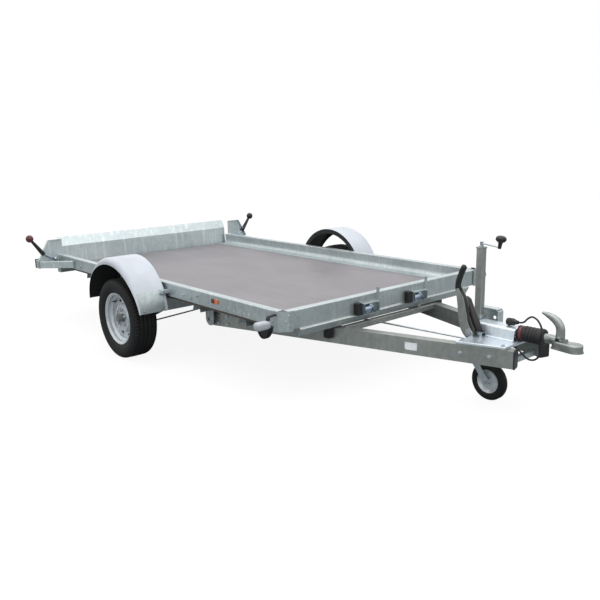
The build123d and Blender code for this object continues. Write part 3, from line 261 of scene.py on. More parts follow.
def addPiece(name, templates, material, body, replaced=(), smooth=False, bevel=0.0):
    # templates are measured from the axle, so the axle's place is added
    points, faces = joinTemplates(*templates)
    piece = meshFromArrays(name, points + [axleX, 0, 0], faces, material, smooth)
    if bevel:
        rounding = piece.modifiers.new("softEdges", "BEVEL")
        rounding.width = bevel
        rounding.segments = 2
        rounding.limit_method = "ANGLE"
        rounding.harden_normals = False
    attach(piece, body)
    if replaced:
        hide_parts(*replaced)
    return piece


def prism(axis, outline, start, end):
    # outline in the two other coordinates, pushed along the axis and taken the way round that faces it outwards
    outline = np.array(outline, float)
    following = np.roll(outline, -1, 0)
    turning = np.sum(outline[:, 0] * following[:, 1] - outline[:, 1] * following[:, 0])
    if axis == 1:
        turning = -turning
    if turning * (end - start) < 0:
        outline = outline[::-1]
    others = [other for other in range(3) if other != axis]
    points = np.zeros((2, len(outline), 3))
    points[..., others] = outline
    points[0, :, axis], points[1, :, axis] = start, end
    return points.reshape(-1, 3), cappedFaces(2, len(outline))


def ribbon(line, thickness):
    # closed outline: the line, and the line moved square to itself, backwards
    line = np.array(line, float)
    run = np.gradient(line, axis=0)
    run /= np.linalg.norm(run, axis=1, keepdims=True)
    return np.vstack([line, (line + np.stack([-run[:, 1], run[:, 0]], -1) * thickness)[::-1]])


def hotDipZinc(name, tone, spangle=0.016, runs=0.0, shine=0.42):
    # steel dipped in molten zinc: grey crystals a thumbnail wide, soft clouds of gloss 300 mm across,
    # faint runs 30 mm wide and 400 mm long where it drained, and an orange-peel grain of 4 mm
    material, tree, shader, place = startMaterial(name, {"Metallic": 0.78, "Specular IOR Level": 0.5})
    cells = addNode(
        tree, "ShaderNodeTexVoronoi", {"feature": "F1", "Scale": 1 / spangle, "Randomness": 1.0},
        {"Vector": (place, "Object")},
    )
    cellTone = addNode(tree, "ShaderNodeSeparateColor", {}, {"Color": (cells, "Color")})
    clouds = addNode(
        tree, "ShaderNodeTexNoise", {"Scale": 3.2, "Detail": 5.0, "Roughness": 0.6},
        {"Vector": (place, "Object")},
    )
    drained = addNode(tree, "ShaderNodeMapping", {"Scale": (34, 34, 2.4)}, {"Vector": (place, "Object")})
    runNoise = addNode(
        tree, "ShaderNodeTexNoise", {"Scale": 1.0, "Detail": 3.0, "Roughness": 0.55},
        {"Vector": (drained, "Vector")},
    )
    runMask = addNode(
        tree, "ShaderNodeMapRange", {"From Min": 0.52, "From Max": 0.7, "To Min": 0.0, "To Max": runs},
        {"Value": (runNoise, "Fac")},
    )
    light = addNode(
        tree, "ShaderNodeMath", {"operation": "MULTIPLY_ADD", 1: 0.16, 2: 0.0}, {0: (cellTone, "Red")},
    )
    cloudy = addNode(
        tree, "ShaderNodeMath", {"operation": "MULTIPLY_ADD", 1: 0.62},
        {0: (clouds, "Fac"), 2: (light, "Value")},
    )
    colour = addNode(
        tree, "ShaderNodeValToRGB", {"stops": [(0.2, tone[0]), (0.62, tone[1])]}, {"Fac": (cloudy, "Value")},
    )
    washed = addNode(
        tree, "ShaderNodeMix", {"data_type": "RGBA", "blend_type": "MIX"},
        {0: (runMask, "Result"), 6: (colour, "Color")},
    )
    washed.inputs[7].default_value = linearColour(tone[2])
    gloss = addNode(
        tree, "ShaderNodeMapRange",
        {"From Min": 0.3, "From Max": 0.7, "To Min": shine - 0.07, "To Max": shine + 0.1},
        {"Value": (clouds, "Fac")},
    )
    peel = addNode(tree, "ShaderNodeTexNoise", {"Scale": 260.0, "Detail": 2.0}, {"Vector": (place, "Object")})
    bump = addNode(tree, "ShaderNodeBump", {"Strength": 0.16, "Distance": 0.0006}, {"Height": (peel, "Fac")})
    feedShader(
        tree, shader, {"Base Color": (washed, 2), "Roughness": (gloss, "Result"), "Normal": (bump, "Normal")},
    )
    return material


def platedZinc(name, tone, rough=0.3, metal=1.0):
    # passivated zinc plating on steel: bright, faintly blue in clouds of 40 mm, with a fine grain of 1 mm
    material, tree, shader, place = startMaterial(name, {"Metallic": metal})
    grain = addNode(tree, "ShaderNodeTexNoise", {"Scale": 900.0, "Detail": 2.0}, {"Vector": (place, "Object")})
    clouds = addNode(tree, "ShaderNodeTexNoise", {"Scale": 26.0, "Detail": 4.0}, {"Vector": (place, "Object")})
    colour = addNode(
        tree, "ShaderNodeValToRGB", {"stops": [(0.32, tone[0]), (0.68, tone[1])]}, {"Fac": (clouds, "Fac")},
    )
    gloss = addNode(
        tree, "ShaderNodeMapRange",
        {"From Min": 0.3, "From Max": 0.7, "To Min": rough - 0.06, "To Max": rough + 0.12},
        {"Value": (clouds, "Fac")},
    )
    bump = addNode(tree, "ShaderNodeBump", {"Strength": 0.08, "Distance": 0.0003}, {"Height": (grain, "Fac")})
    feedShader(
        tree, shader,
        {"Base Color": (colour, "Color"), "Roughness": (gloss, "Result"), "Normal": (bump, "Normal")},
    )
    return material


def filmFacedPlywood(name):
    # birch plywood under a pressed phenolic film: pinkish grey in clouds of half a metre, fibres 14 mm wide
    # and a third of a metre long showing through, a mesh print of 6 mm; edges and underside show their plies,
    # darkened by painted shade
    material, tree, shader, place = startMaterial(
        name, {"Metallic": 0.0, "IOR": 1.5, "Coat Weight": 0.12, "Coat Roughness": 0.35},
    )
    clouds = addNode(
        tree, "ShaderNodeTexNoise", {"Scale": 2.1, "Detail": 6.0, "Roughness": 0.62},
        {"Vector": (place, "Object")},
    )
    along = addNode(tree, "ShaderNodeMapping", {"Scale": (3.0, 70.0, 1.0)}, {"Vector": (place, "Object")})
    fibre = addNode(tree, "ShaderNodeTexNoise", {"Scale": 1.0, "Detail": 4.0}, {"Vector": (along, "Vector")})
    both = addNode(
        tree, "ShaderNodeMath", {"operation": "MULTIPLY_ADD", 1: 0.35}, {0: (fibre, "Fac"), 2: (clouds, "Fac")},
    )
    colour = addNode(
        tree, "ShaderNodeValToRGB", {"stops": [(0.45, "#666367"), (0.62, "#716d71"), (0.86, "#7d7a7e")]},
        {"Fac": (both, "Value")},
    )
    parts = addNode(tree, "ShaderNodeSeparateXYZ", {}, {"Vector": (place, "Object")})
    edge = addNode(
        tree, "ShaderNodeMath", {"operation": "LESS_THAN", 1: float(boxOf["deck"][1][2]) - 0.0006},
        {0: (parts, "Z")},
    )
    layers = addNode(
        tree, "ShaderNodeTexWave",
        {"wave_type": "BANDS", "bands_direction": "Z", "Scale": 1 / 0.0105, "Distortion": 0.6},
        {"Vector": (place, "Object")},
    )
    # painted shade: every face below the deck's top takes this dark tone; the bands are the plies
    pliesInPaintedShade = addNode(
        tree, "ShaderNodeValToRGB", {"stops": [(0.3, "#3b302b"), (0.7, "#574a42")]}, {"Fac": (layers, "Fac")},
    )
    mixed = addNode(
        tree, "ShaderNodeMix", {"data_type": "RGBA"},
        {0: (edge, "Value"), 6: (colour, "Color"), 7: (pliesInPaintedShade, "Color")},
    )
    turned = addNode(
        tree, "ShaderNodeMapping", {"Rotation": (0, 0, math.radians(45))}, {"Vector": (place, "Object")},
    )
    meshPrint = addNode(
        tree, "ShaderNodeTexBrick",
        {"Scale": 1 / 0.006, "Mortar Size": 0.06, "Brick Width": 1.0, "Row Height": 1.0, "offset": 0.5},
        {"Vector": (turned, "Vector")},
    )
    bump = addNode(
        tree, "ShaderNodeBump", {"Strength": 0.1, "Distance": 0.0004}, {"Height": (meshPrint, "Fac")},
    )
    gloss = addNode(
        tree, "ShaderNodeMapRange", {"From Min": 0.3, "From Max": 0.7, "To Min": 0.44, "To Max": 0.6},
        {"Value": (clouds, "Fac")},
    )
    feedShader(
        tree, shader, {"Base Color": (mixed, 2), "Roughness": (gloss, "Result"), "Normal": (bump, "Normal")},
    )
    return material


def mouldedPlastic(name, tone, rough, grit=0.0016, depth=0.12, ior=1.49):
    # injection-moulded thermoplastic: even colour, spark-eroded grain of about a millimetre and a half
    material, tree, shader, place = startMaterial(name, {"Metallic": 0.0, "IOR": ior})
    clouds = addNode(tree, "ShaderNodeTexNoise", {"Scale": 7.0, "Detail": 4.0}, {"Vector": (place, "Object")})
    colour = addNode(
        tree, "ShaderNodeValToRGB", {"stops": [(0.35, tone[0]), (0.65, tone[1])]}, {"Fac": (clouds, "Fac")},
    )
    grain = addNode(
        tree, "ShaderNodeTexNoise", {"Scale": 1 / grit, "Detail": 2.0}, {"Vector": (place, "Object")},
    )
    bump = addNode(tree, "ShaderNodeBump", {"Strength": depth, "Distance": 0.0004}, {"Height": (grain, "Fac")})
    gloss = addNode(
        tree, "ShaderNodeMapRange",
        {"From Min": 0.3, "From Max": 0.7, "To Min": rough - 0.05, "To Max": rough + 0.07},
        {"Value": (clouds, "Fac")},
    )
    feedShader(
        tree, shader,
        {"Base Color": (colour, "Color"), "Roughness": (gloss, "Result"), "Normal": (bump, "Normal")},
    )
    return material


def guardPlastic(name):
    # blow-moulded polypropylene mudguard: pale and glossy on the outer side of its wall, near black and matt on
    # the inner side over the tyre
    # the skin is where a point lies further than the middle of the wall from the rounded section's core
    material, tree, shader, place = startMaterial(name, {"Metallic": 0.0, "IOR": 1.49})
    centred = addNode(
        tree, "ShaderNodeMapping", {"Location": (-axleX, 0, -guardSettings["arcHeight"]), "Scale": (1, 0, 1)},
        {"Vector": (place, "Object")},
    )
    radius = addNode(tree, "ShaderNodeVectorMath", {"operation": "LENGTH"}, {0: (centred, "Vector")})
    parts = addNode(tree, "ShaderNodeSeparateXYZ", {}, {"Vector": (place, "Object")})
    across = addNode(tree, "ShaderNodeMath", {"operation": "ABSOLUTE"}, {0: (parts, "Y")})
    beyondSide = addNode(
        tree, "ShaderNodeMath", {"operation": "SUBTRACT", 1: guardSettings["coreSide"]}, {0: (across, "Value")},
    )
    beyondTop = addNode(
        tree, "ShaderNodeMath", {"operation": "SUBTRACT", 1: guardSettings["coreRadius"]},
        {0: (radius, "Value")},
    )
    sideOnly = addNode(tree, "ShaderNodeMath", {"operation": "MAXIMUM", 1: 0.0}, {0: (beyondSide, "Value")})
    topOnly = addNode(tree, "ShaderNodeMath", {"operation": "MAXIMUM", 1: 0.0}, {0: (beyondTop, "Value")})
    reach = addNode(tree, "ShaderNodeCombineXYZ", {}, {"X": (sideOnly, "Value"), "Y": (topOnly, "Value")})
    distance = addNode(tree, "ShaderNodeVectorMath", {"operation": "LENGTH"}, {0: (reach, "Vector")})
    outside = addNode(
        tree, "ShaderNodeMath", {"operation": "GREATER_THAN", 1: guardSettings["turn"]},
        {0: (distance, "Value")},
    )
    clouds = addNode(tree, "ShaderNodeTexNoise", {"Scale": 7.0, "Detail": 4.0}, {"Vector": (place, "Object")})
    pale = addNode(
        tree, "ShaderNodeValToRGB", {"stops": [(0.35, "#aeb4bc"), (0.65, "#b8bec6")]}, {"Fac": (clouds, "Fac")},
    )
    dark = addNode(
        tree, "ShaderNodeValToRGB", {"stops": [(0.35, "#0e0f10"), (0.65, "#17181a")]}, {"Fac": (clouds, "Fac")},
    )
    mixed = addNode(
        tree, "ShaderNodeMix", {"data_type": "RGBA"},
        {0: (outside, "Value"), 6: (dark, "Color"), 7: (pale, "Color")},
    )
    gloss = addNode(tree, "ShaderNodeMapRange", {"To Min": 0.7, "To Max": 0.34}, {"Value": (outside, "Value")})
    grain = addNode(tree, "ShaderNodeTexNoise", {"Scale": 900.0, "Detail": 2.0}, {"Vector": (place, "Object")})
    bump = addNode(tree, "ShaderNodeBump", {"Strength": 0.05, "Distance": 0.0004}, {"Height": (grain, "Fac")})
    feedShader(
        tree, shader, {"Base Color": (mixed, 2), "Roughness": (gloss, "Result"), "Normal": (bump, "Normal")},
    )
    return material


def tyreRubber(name, middle, dust="#1c1d1e"):
    # carbon-black rubber: matt, a little grey dust in patches of 70 mm, faint moulding rings 4 mm apart
    material, tree, shader, place = startMaterial(
        name, {"Metallic": 0.0, "IOR": 1.52, "Specular IOR Level": 0.35},
    )
    centred = addNode(
        tree, "ShaderNodeMapping", {"Location": (-middle[0], 0, -middle[2]), "Scale": (1, 0, 1)},
        {"Vector": (place, "Object")},
    )
    radius = addNode(tree, "ShaderNodeVectorMath", {"operation": "LENGTH"}, {0: (centred, "Vector")})
    rings = addNode(
        tree, "ShaderNodeMath", {"operation": "MULTIPLY", 1: 2 * math.pi / 0.004}, {0: (radius, "Value")},
    )
    ringWave = addNode(tree, "ShaderNodeMath", {"operation": "SINE"}, {0: (rings, "Value")})
    dirt = addNode(
        tree, "ShaderNodeTexNoise", {"Scale": 14.0, "Detail": 6.0, "Roughness": 0.65},
        {"Vector": (place, "Object")},
    )
    colour = addNode(
        tree, "ShaderNodeValToRGB", {"stops": [(0.4, "#0b0b0c"), (0.75, dust)]}, {"Fac": (dirt, "Fac")},
    )
    fine = addNode(tree, "ShaderNodeTexNoise", {"Scale": 700.0, "Detail": 2.0}, {"Vector": (place, "Object")})
    relief = addNode(
        tree, "ShaderNodeMath", {"operation": "MULTIPLY_ADD", 1: 0.25},
        {0: (ringWave, "Value"), 2: (fine, "Fac")},
    )
    bump = addNode(
        tree, "ShaderNodeBump", {"Strength": 0.18, "Distance": 0.0006}, {"Height": (relief, "Value")},
    )
    gloss = addNode(
        tree, "ShaderNodeMapRange", {"From Min": 0.3, "From Max": 0.7, "To Min": 0.62, "To Max": 0.8},
        {"Value": (dirt, "Fac")},
    )
    feedShader(
        tree, shader,
        {"Base Color": (colour, "Color"), "Roughness": (gloss, "Result"), "Normal": (bump, "Normal")},
    )
    return material


def clearLens(name, tone, pitch=0.005):
    # acrylic lens over a coloured body: glossy, with moulded prism ribs
    material, tree, shader, place = startMaterial(
        name, {"Metallic": 0.0, "IOR": 1.49, "Roughness": 0.12, "Coat Weight": 0.6, "Coat Roughness": 0.05},
    )
    ribs = addNode(
        tree, "ShaderNodeTexWave",
        {"wave_type": "BANDS", "bands_direction": "DIAGONAL", "Scale": 0.31 / pitch, "Distortion": 0.0},
        {"Vector": (place, "Object")},
    )
    colour = addNode(
        tree, "ShaderNodeValToRGB", {"stops": [(0.2, tone[0]), (0.8, tone[1])]}, {"Fac": (ribs, "Fac")},
    )
    bump = addNode(tree, "ShaderNodeBump", {"Strength": 0.4, "Distance": 0.0006}, {"Height": (ribs, "Fac")})
    feedShader(tree, shader, {"Base Color": (colour, "Color"), "Normal": (bump, "Normal")})
    return material


guardSettings = {"arcHeight": 0.330, "coreSide": 1.114, "coreRadius": 0.346, "turn": 0.032}
galvanised = hotDipZinc("hotDipGalvanisedSteel", ("#a3adaf", "#c6cecf", "#dae0e0"), runs=0.3, shine=0.38)
galvanisedBeam = hotDipZinc("galvanisedBeamSteel", ("#898d8a", "#a7aaa6", "#bcc0bc"), spangle=0.022, runs=0.2)
galvanisedTail = hotDipZinc("galvanisedTailSheet", ("#b0bbbd", "#cdd6d7", "#e2e8e8"), runs=0.6, shine=0.44)
brightZinc = platedZinc("zincPlatedSteel", ("#a9b0b6", "#c8ced2"))
blueZinc = platedZinc("bluePassivatedZinc", ("#8d9db4", "#b1bfd0"), 0.34)
paleCasting = platedZinc("zincPlatedCasting", ("#b7bab8", "#d3d5d2"), 0.42)
couplingCasting = platedZinc("zincCoatedCasting", ("#8f9491", "#a9adaa"), 0.42)
wheelSilver = platedZinc("silverWheelLacquer", ("#b9bfc3", "#ced4d7"), 0.4, 0.55)
drumIron = mouldedPlastic("castIronDrum", ("#5b5c5e", "#77787a"), 0.55)
deckFilm = filmFacedPlywood("phenolicFilmPlywood")
blackRubber = mouldedPlastic("mouldedRubber", ("#0c0c0d", "#161617"), 0.5)
blackPlastic = mouldedPlastic("blackNylon", ("#0c0c0d", "#151517"), 0.4)
redPlastic = mouldedPlastic("darkRedNylon", ("#4a1d22", "#5c2a30"), 0.22, depth=0.03)
coverPlastic = guardPlastic("whitePolypropylene")
tyreMaterial = tyreRubber("tyreRubber", wheelMiddle)
smallTyre = tyreRubber("solidRubberTyre", (boxOf["jockey_tyre"][0] + boxOf["jockey_tyre"][1]) / 2, "#111112")
redLens = clearLens("redLens", ("#8c0f10", "#b3191a"))
amberLens = clearLens("amberLens", ("#c4571a", "#d9752c"))
whiteLens = clearLens("opalLens", ("#8e959b", "#a6acb1"))
brightTray = hotDipZinc("hotDipZincTray", ("#cdd6de", "#e0e8ee", "#f0f5f8"), runs=0.35, shine=0.4)
blankAluminium = platedZinc("blankAluminiumPlate", ("#dfe3ea", "#edf0f4"), 0.5, 0.15)

nodesByFinish = (
    (deckFilm, "deck"),
    (galvanisedTail, "tail_panel lamp_outriggers"),
    (galvanisedBeam, "beam_right beam_left cross_tube head_tray"),
    (tyreMaterial, "tyre_right tyre_left"),
    (smallTyre, "jockey_tyre"),
    (wheelSilver, "rim_right rim_left jockey_rim"),
    (drumIron, "brake_drum_right brake_drum_left"),
    (brightTray, "overrun_housing"),
    (coverPlastic, "mudguard_right mudguard_left"),
    (redLens, "rear_lamps"),
    (blackRubber, "position_lamps rubber_buffers latch_pads bellows plug_lead"),
    (blackPlastic, "beam_caps jack_knob handbrake_grip gas_strut plug brake_cables"),
    (blackPlastic, "wheel_chock tail_latches coupling_shaft"),
    (blueZinc, "front_latches"),
    (couplingCasting, "coupling_head coupling_handle"),
    (brightZinc, "brake_plates jack_crank jockey_pin pivot_pins brake_rod brake_linkage"),
)
finishOf = {name: finish for finish, names in nodesByFinish for name in names.split()}
for nodeName, node in nodes.items():
    node.data.materials.clear()
    node.data.materials.append(finishOf.get(nodeName, galvanised))
print("materials set")


def addFixings(
    name, template, centres, direction, body, material=brightZinc, smooth=False,
):
    # one mesh of many copies of a small part, with its centres measured from the axle
    piece = placeMany(name, template, np.array(centres) + [axleX, 0, 0], direction, material, smooth)
    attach(piece, body)


cameraSettings = {
    "place": (4.369, -3.207, 1.450), "azimuth": 49.145, "pitch": 12.816, "roll": -1.226, "lens": 41.67,
}


def makeCamera(settings):
    # the view direction from azimuth and pitch, then a small turn about it
    a, e, roll = (math.radians(settings[key]) for key in ("azimuth", "pitch", "roll"))
    ahead = np.array([-math.sin(a) * math.cos(e), math.cos(a) * math.cos(e), -math.sin(e)])
    right = np.array([math.cos(a), math.sin(a), 0])
    up = np.cross(right, ahead)
    across = math.cos(roll) * right + math.sin(roll) * up
    upwards = -math.sin(roll) * right + math.cos(roll) * up
    data = bpy.data.cameras.new("camera")
    data.lens = settings["lens"]
    data.sensor_width = 36
    data.clip_end = 200
    camera = bpy.data.objects.new("camera", data)
    matrix = np.eye(4)
    matrix[:3, :3] = np.column_stack([across, upwards, -ahead])
    matrix[:3, 3] = np.array(settings["place"]) + [axleX, 0, 0]
    camera.matrix_world = Matrix(matrix.tolist())
    scene.collection.objects.link(camera)
    scene.camera = camera


makeCamera(cameraSettings)

lightSettings = {
    "overhead": {"place": (0.4, 0.0, 6.0), "target": (0.2, 0, 0.3), "size": 7.0, "power": 190},
    "key": {"place": (5.5, -4.5, 5.5), "target": (0, 0, 0.4), "size": 3.5, "power": 60},
}


def makeLights(settings):
    # soft lamps turned to their targets, inside a pale dome that darkens toward the ground
    for name, lamp in settings.items():
        data = bpy.data.lights.new(name, "AREA")
        data.size = lamp["size"]
        data.energy = lamp["power"]
        light = bpy.data.objects.new(name, data)
        place, target = np.array(lamp["place"], float), np.array(lamp["target"], float)
        axes = framesAlong((place - target)[None])[0]
        matrix = np.eye(4)
        matrix[:3, :3] = axes
        matrix[:3, 3] = place
        light.matrix_world = Matrix(matrix.tolist())
        scene.collection.objects.link(light)
    world = bpy.data.worlds.new("studio")
    world.use_nodes = True
    tree = world.node_tree
    tree.nodes.clear()
    place = addNode(tree, "ShaderNodeTexCoord")
    parts = addNode(tree, "ShaderNodeSeparateXYZ", {}, {"Vector": (place, "Generated")})
    height = addNode(tree, "ShaderNodeMapRange", {"From Min": 0.0, "From Max": 1.0}, {"Value": (parts, "Z")})
    glow = addNode(
        tree, "ShaderNodeValToRGB",
        {"stops": [(0.0, "#949a9c"), (0.09, "#d9dee0"), (0.20, "#ffffff"), (1.0, "#ffffff")]},
        {"Fac": (height, "Result")},
    )
    lit = addNode(tree, "ShaderNodeBackground", {"Strength": 1.2}, {"Color": (glow, "Color")})
    seen = addNode(tree, "ShaderNodeBackground", {"Color": (1, 1, 1, 1), "Strength": 1.0})
    path = addNode(tree, "ShaderNodeLightPath")
    both = addNode(
        tree, "ShaderNodeMixShader", {},
        {0: (path, "Is Camera Ray"), 1: (lit, "Background"), 2: (seen, "Background")},
    )
    addNode(tree, "ShaderNodeOutputWorld", {}, {"Surface": (both, "Shader")})
    scene.world = world


makeLights(lightSettings)
scene.view_settings.view_transform = "Standard"

floorSettings = {"reach": 60.0, "tone": "#8b9092", "seen": "#ffffff", "shadow": 0.10}


def makeFloor(settings):
    # flat square of three by three points: near white to the eye, mid grey to the light that it throws back
    material = bpy.data.materials.new("paleStudioFloor")
    material.use_nodes = True
    tree = material.node_tree
    tree.nodes.clear()
    ground = addNode(tree, "ShaderNodeBsdfDiffuse", {"Color": linearColour(settings["tone"])})
    paper = addNode(tree, "ShaderNodeBsdfDiffuse", {"Color": linearColour(settings["seen"])})
    white = addNode(tree, "ShaderNodeEmission", {"Color": (1, 1, 1, 1), "Strength": 1.0})
    shown = addNode(
        tree, "ShaderNodeMixShader", {0: settings["shadow"]}, {1: (white, "Emission"), 2: (paper, "BSDF")},
    )
    path = addNode(tree, "ShaderNodeLightPath")
    both = addNode(
        tree, "ShaderNodeMixShader", {},
        {0: (path, "Is Camera Ray"), 1: (ground, "BSDF"), 2: (shown, "Shader")},
    )
    addNode(tree, "ShaderNodeOutputMaterial", {}, {"Surface": (both, "Shader")})
    across = np.linspace(-settings["reach"], settings["reach"], 3)
    points = np.array([[x, y, 0.0] for x in across for y in across])
    floor = meshFromArrays("floor", points, gridFaces(3, 3), material)
    if floor.data.polygons[0].normal.z < 0:
        floor.data.flip_normals()


makeFloor(floorSettings)
print("camera, light and floor set")


leadSettings = {
    "route": [
        (2352, -60, 387), (2412, -60, 387), (2478, -63, 366), (2532, -66, 320), (2590, -68, 334), (2612, -66, 402),
        (2608, -56, 474), (2574, -40, 530), (2524, -24, 547), (2488, -12, 524), (2464, -6, 495), (2434, -3, 492),
    ],
    "thickness": 0.010, "length": 0.62, "ribs": 16, "ribDepth": 0.05, "ribReach": (0.032, 0.053),
    "plugSides": 96,
    "plug": [
        (0.0065, 0), (0.0105, 0.003), (0.0125, 0.022), (0.0175, 0.027), (0.019, 0.030), (0.019, 0.054),
        (0.0209, 0.0545), (0.0209, 0.066), (0.0195, 0.0718), (0.004, 0.0719),
    ],
}


def makeLead(settings):
    # a smooth spline that has the route's corners as its control points, given a round section
    data = bpy.data.curves.new("leadCable", "CURVE")
    data.dimensions = "3D"
    spline = data.splines.new("NURBS")
    route = np.array(settings["route"]) / 1000 + [axleX, 0, 0]
    spline.points.add(len(route) - 1)
    spline.points.foreach_set("co", np.column_stack([route, np.ones(len(route))]).ravel())
    spline.order_u = 3
    spline.use_endpoint_u = True
    spline.resolution_u = 12
    data.bevel_depth = settings["thickness"] / 2
    data.bevel_resolution = 6
    data.use_fill_caps = True
    data.materials.append(blackRubber)
    lead = bpy.data.objects.new("leadCable", data)
    scene.collection.objects.link(lead)
    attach(lead, "drawbar")
    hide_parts("plug_lead")

    # plug: a ribbed grip, a collar and a hinged cap, radius as a wave of the turn where the ribs are
    axis = route[-1] - route[-2]
    axis = axis / np.linalg.norm(axis)
    profile = smoothProfile(settings["plug"], 60)
    sides, (ribStart, ribEnd) = settings["plugSides"], settings["ribReach"]
    turn = np.arange(sides) * 2 * math.pi / sides
    radius, along = profile[:, 0][:, None], profile[:, 1][:, None]
    onRibs = (along > ribStart) & (along < ribEnd)
    ribbed = radius * (1 + settings["ribDepth"] * np.cos(settings["ribs"] * turn) * onRibs)
    local = np.stack([ribbed * np.cos(turn), ribbed * np.sin(turn), along * np.ones_like(turn)], -1)
    points = route[-1] + local.reshape(-1, 3) @ framesAlong(axis[None])[0].T
    plug = meshFromArrays("plugBody", points, cappedFaces(len(profile), sides), blackPlastic)
    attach(plug, "drawbar")
    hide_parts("plug")


makeLead(leadSettings)
print("lead and plug made")


tyreSettings = {
    "blocks": 68, "stepsPerBlock": 8, "blockSlant": 9.0, "profileSteps": 46,
    "grooves": (-0.045, -0.0155, 0.0155, 0.045), "grooveHalf": 0.004, "grooveDepth": 0.0065,
    "outerBand": (0.047, 0.084), "outerSlot": 0.24, "outerDepth": 0.0045,
    "innerBand": 0.013, "innerSlot": 0.13, "innerDepth": 0.003,
    "treadFrom": 0.262, "treadFade": 0.008, "shoulderRibs": (0.248, 0.262), "ribDepth": 0.0005,
    "half": [
        (0.168, 0.0635), (0.1832, 0.0700), (0.189, 0.0775), (0.194, 0.0800), (0.203, 0.0855),
        (0.222, 0.0912), (0.240, 0.0924), (0.256, 0.0895), (0.2675, 0.0830), (0.2745, 0.0750),
        (0.2778, 0.0660), (0.2792, 0.0450), (0.2799, 0.0),
    ],
}


def makeTyre(name, node, settings):
    # radius = profile of the distance across, less the grooves; carried round the axle
    half = smoothProfile(settings["half"], settings["profileSteps"])
    profile = np.vstack([half * [1, -1], half[-2::-1]])
    steps = settings["blocks"] * settings["stepsPerBlock"]
    turn = np.arange(steps) * 2 * math.pi / steps
    across = profile[:, 1][None, :]
    base = profile[:, 0][None, :]
    groove = np.zeros_like(across)
    for place in settings["grooves"]:
        groove = np.maximum(groove, np.clip(1.6 - np.abs(across - place) / settings["grooveHalf"], 0, 1))
    phase = (turn[:, None] * settings["blocks"] / (2 * math.pi) + settings["blockSlant"] * np.abs(across)) % 1.0
    bandStart, bandEnd = settings["outerBand"]
    outerSlots = (phase < settings["outerSlot"]) & (np.abs(across) > bandStart) & (np.abs(across) < bandEnd)
    innerSlots = (phase < settings["innerSlot"]) & (np.abs(across) < settings["innerBand"])
    slot = outerSlots * settings["outerDepth"] + innerSlots * settings["innerDepth"]
    fade = np.clip((base - settings["treadFrom"]) / settings["treadFade"], 0, 1)
    ribStart, ribEnd = settings["shoulderRibs"]
    onRibs = (base > ribStart) & (base < ribEnd)
    ribs = settings["ribDepth"] * (np.sin(turn[:, None] * steps / 4) > 0) * onRibs
    radius = base - np.maximum(groove * settings["grooveDepth"], slot) * fade - ribs
    middle = (boxOf[node][0] + boxOf[node][1]) / 2
    across = np.broadcast_to(across, radius.shape)
    points = middle + np.stack([radius * np.cos(turn)[:, None], across, radius * np.sin(turn)[:, None]], -1)
    faces = gridFaces(steps, len(profile), closeRows=True, closeColumns=True)
    tyre = meshFromArrays(name, points.reshape(-1, 3), faces, tyreMaterial)
    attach(tyre, node.replace("tyre", "wheel"))
    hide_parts(node)


for wheelSide in ("right", "left"):
    makeTyre("tyreWithTread" + wheelSide.title(), "tyre_" + wheelSide, tyreSettings)

wheelSettings = {
    "boltCircle": 0.056, "boltCount": 5, "boltPhase": 0.3, "boltAcross": 0.017, "boltHeight": 0.012,
    "boltWasher": 0.0115, "faceInset": 0.034, "valveShift": 0.101, "valveInset": 0.062,
    "valve": [
        (0.0075, 0), (0.0075, 0.006), (0.0045, 0.010), (0.0042, 0.024), (0.0052, 0.0245), (0.0050, 0.036),
        (0.0015, 0.0375),
    ],
}


def makeWheelFittings(side, sign, settings):
    # bolts on a circle round the hub, and a valve through the disc
    low, high = boxOf["rim_" + side]
    middle = (low + high) / 2 - [axleX, 0, 0]
    rimFace = high[1] if sign > 0 else -low[1]
    face, count, circle = rimFace - settings["faceInset"], settings["boltCount"], settings["boltCircle"]
    turn = np.arange(count) * 2 * math.pi / count + settings["boltPhase"]
    centres = np.column_stack([
        middle[0] + circle * np.cos(turn), np.full(count, sign * face), middle[2] + circle * np.sin(turn),
    ])
    bolt = hexBolt(settings["boltAcross"], settings["boltHeight"], settings["boltWasher"])
    addFixings("wheelBolts" + side.title(), bolt, centres, (0, sign, 0), "wheel_" + side)
    shift = settings["valveShift"]
    places = [[middle[0] - shift, sign * (rimFace - settings["valveInset"]), middle[2] + shift]]
    valve = turnedTemplate(smoothProfile(settings["valve"], 16), 14)
    addFixings(
        "valve" + side.title(), valve, places, (0, sign, 0), "wheel_" + side,
        blackRubber, smooth=True,
    )


makeWheelFittings("right", -1, wheelSettings)
makeWheelFittings("left", 1, wheelSettings)
print("wheels dressed")

crossTubeSettings = {"ahead": 1.541, "level": 0.3675, "reach": 0.422, "size": (0.036, 0.037), "corner": 0.005}


def makeCrossTube(settings):
    # rounded box section carried straight across
    level, ahead, reach = (settings[key] for key in ("level", "ahead", "reach"))
    section = boxSection(*settings["size"], settings["corner"])
    tube = carried(section, [[ahead, -reach, level], [ahead, reach, level]])
    addPiece("frontCrossTube", [tube], galvanisedBeam, "drawbar", ["cross_tube"])


flapSettings = {
    "fold": [(1.552, 0.447), (1.557, 0.436), (1.534, 0.394), (1.519, 0.394)],
    "sheet": 0.0025, "reach": 0.78, "bead": (1.5595, 0.4365), "beadRadius": 0.0032,
}


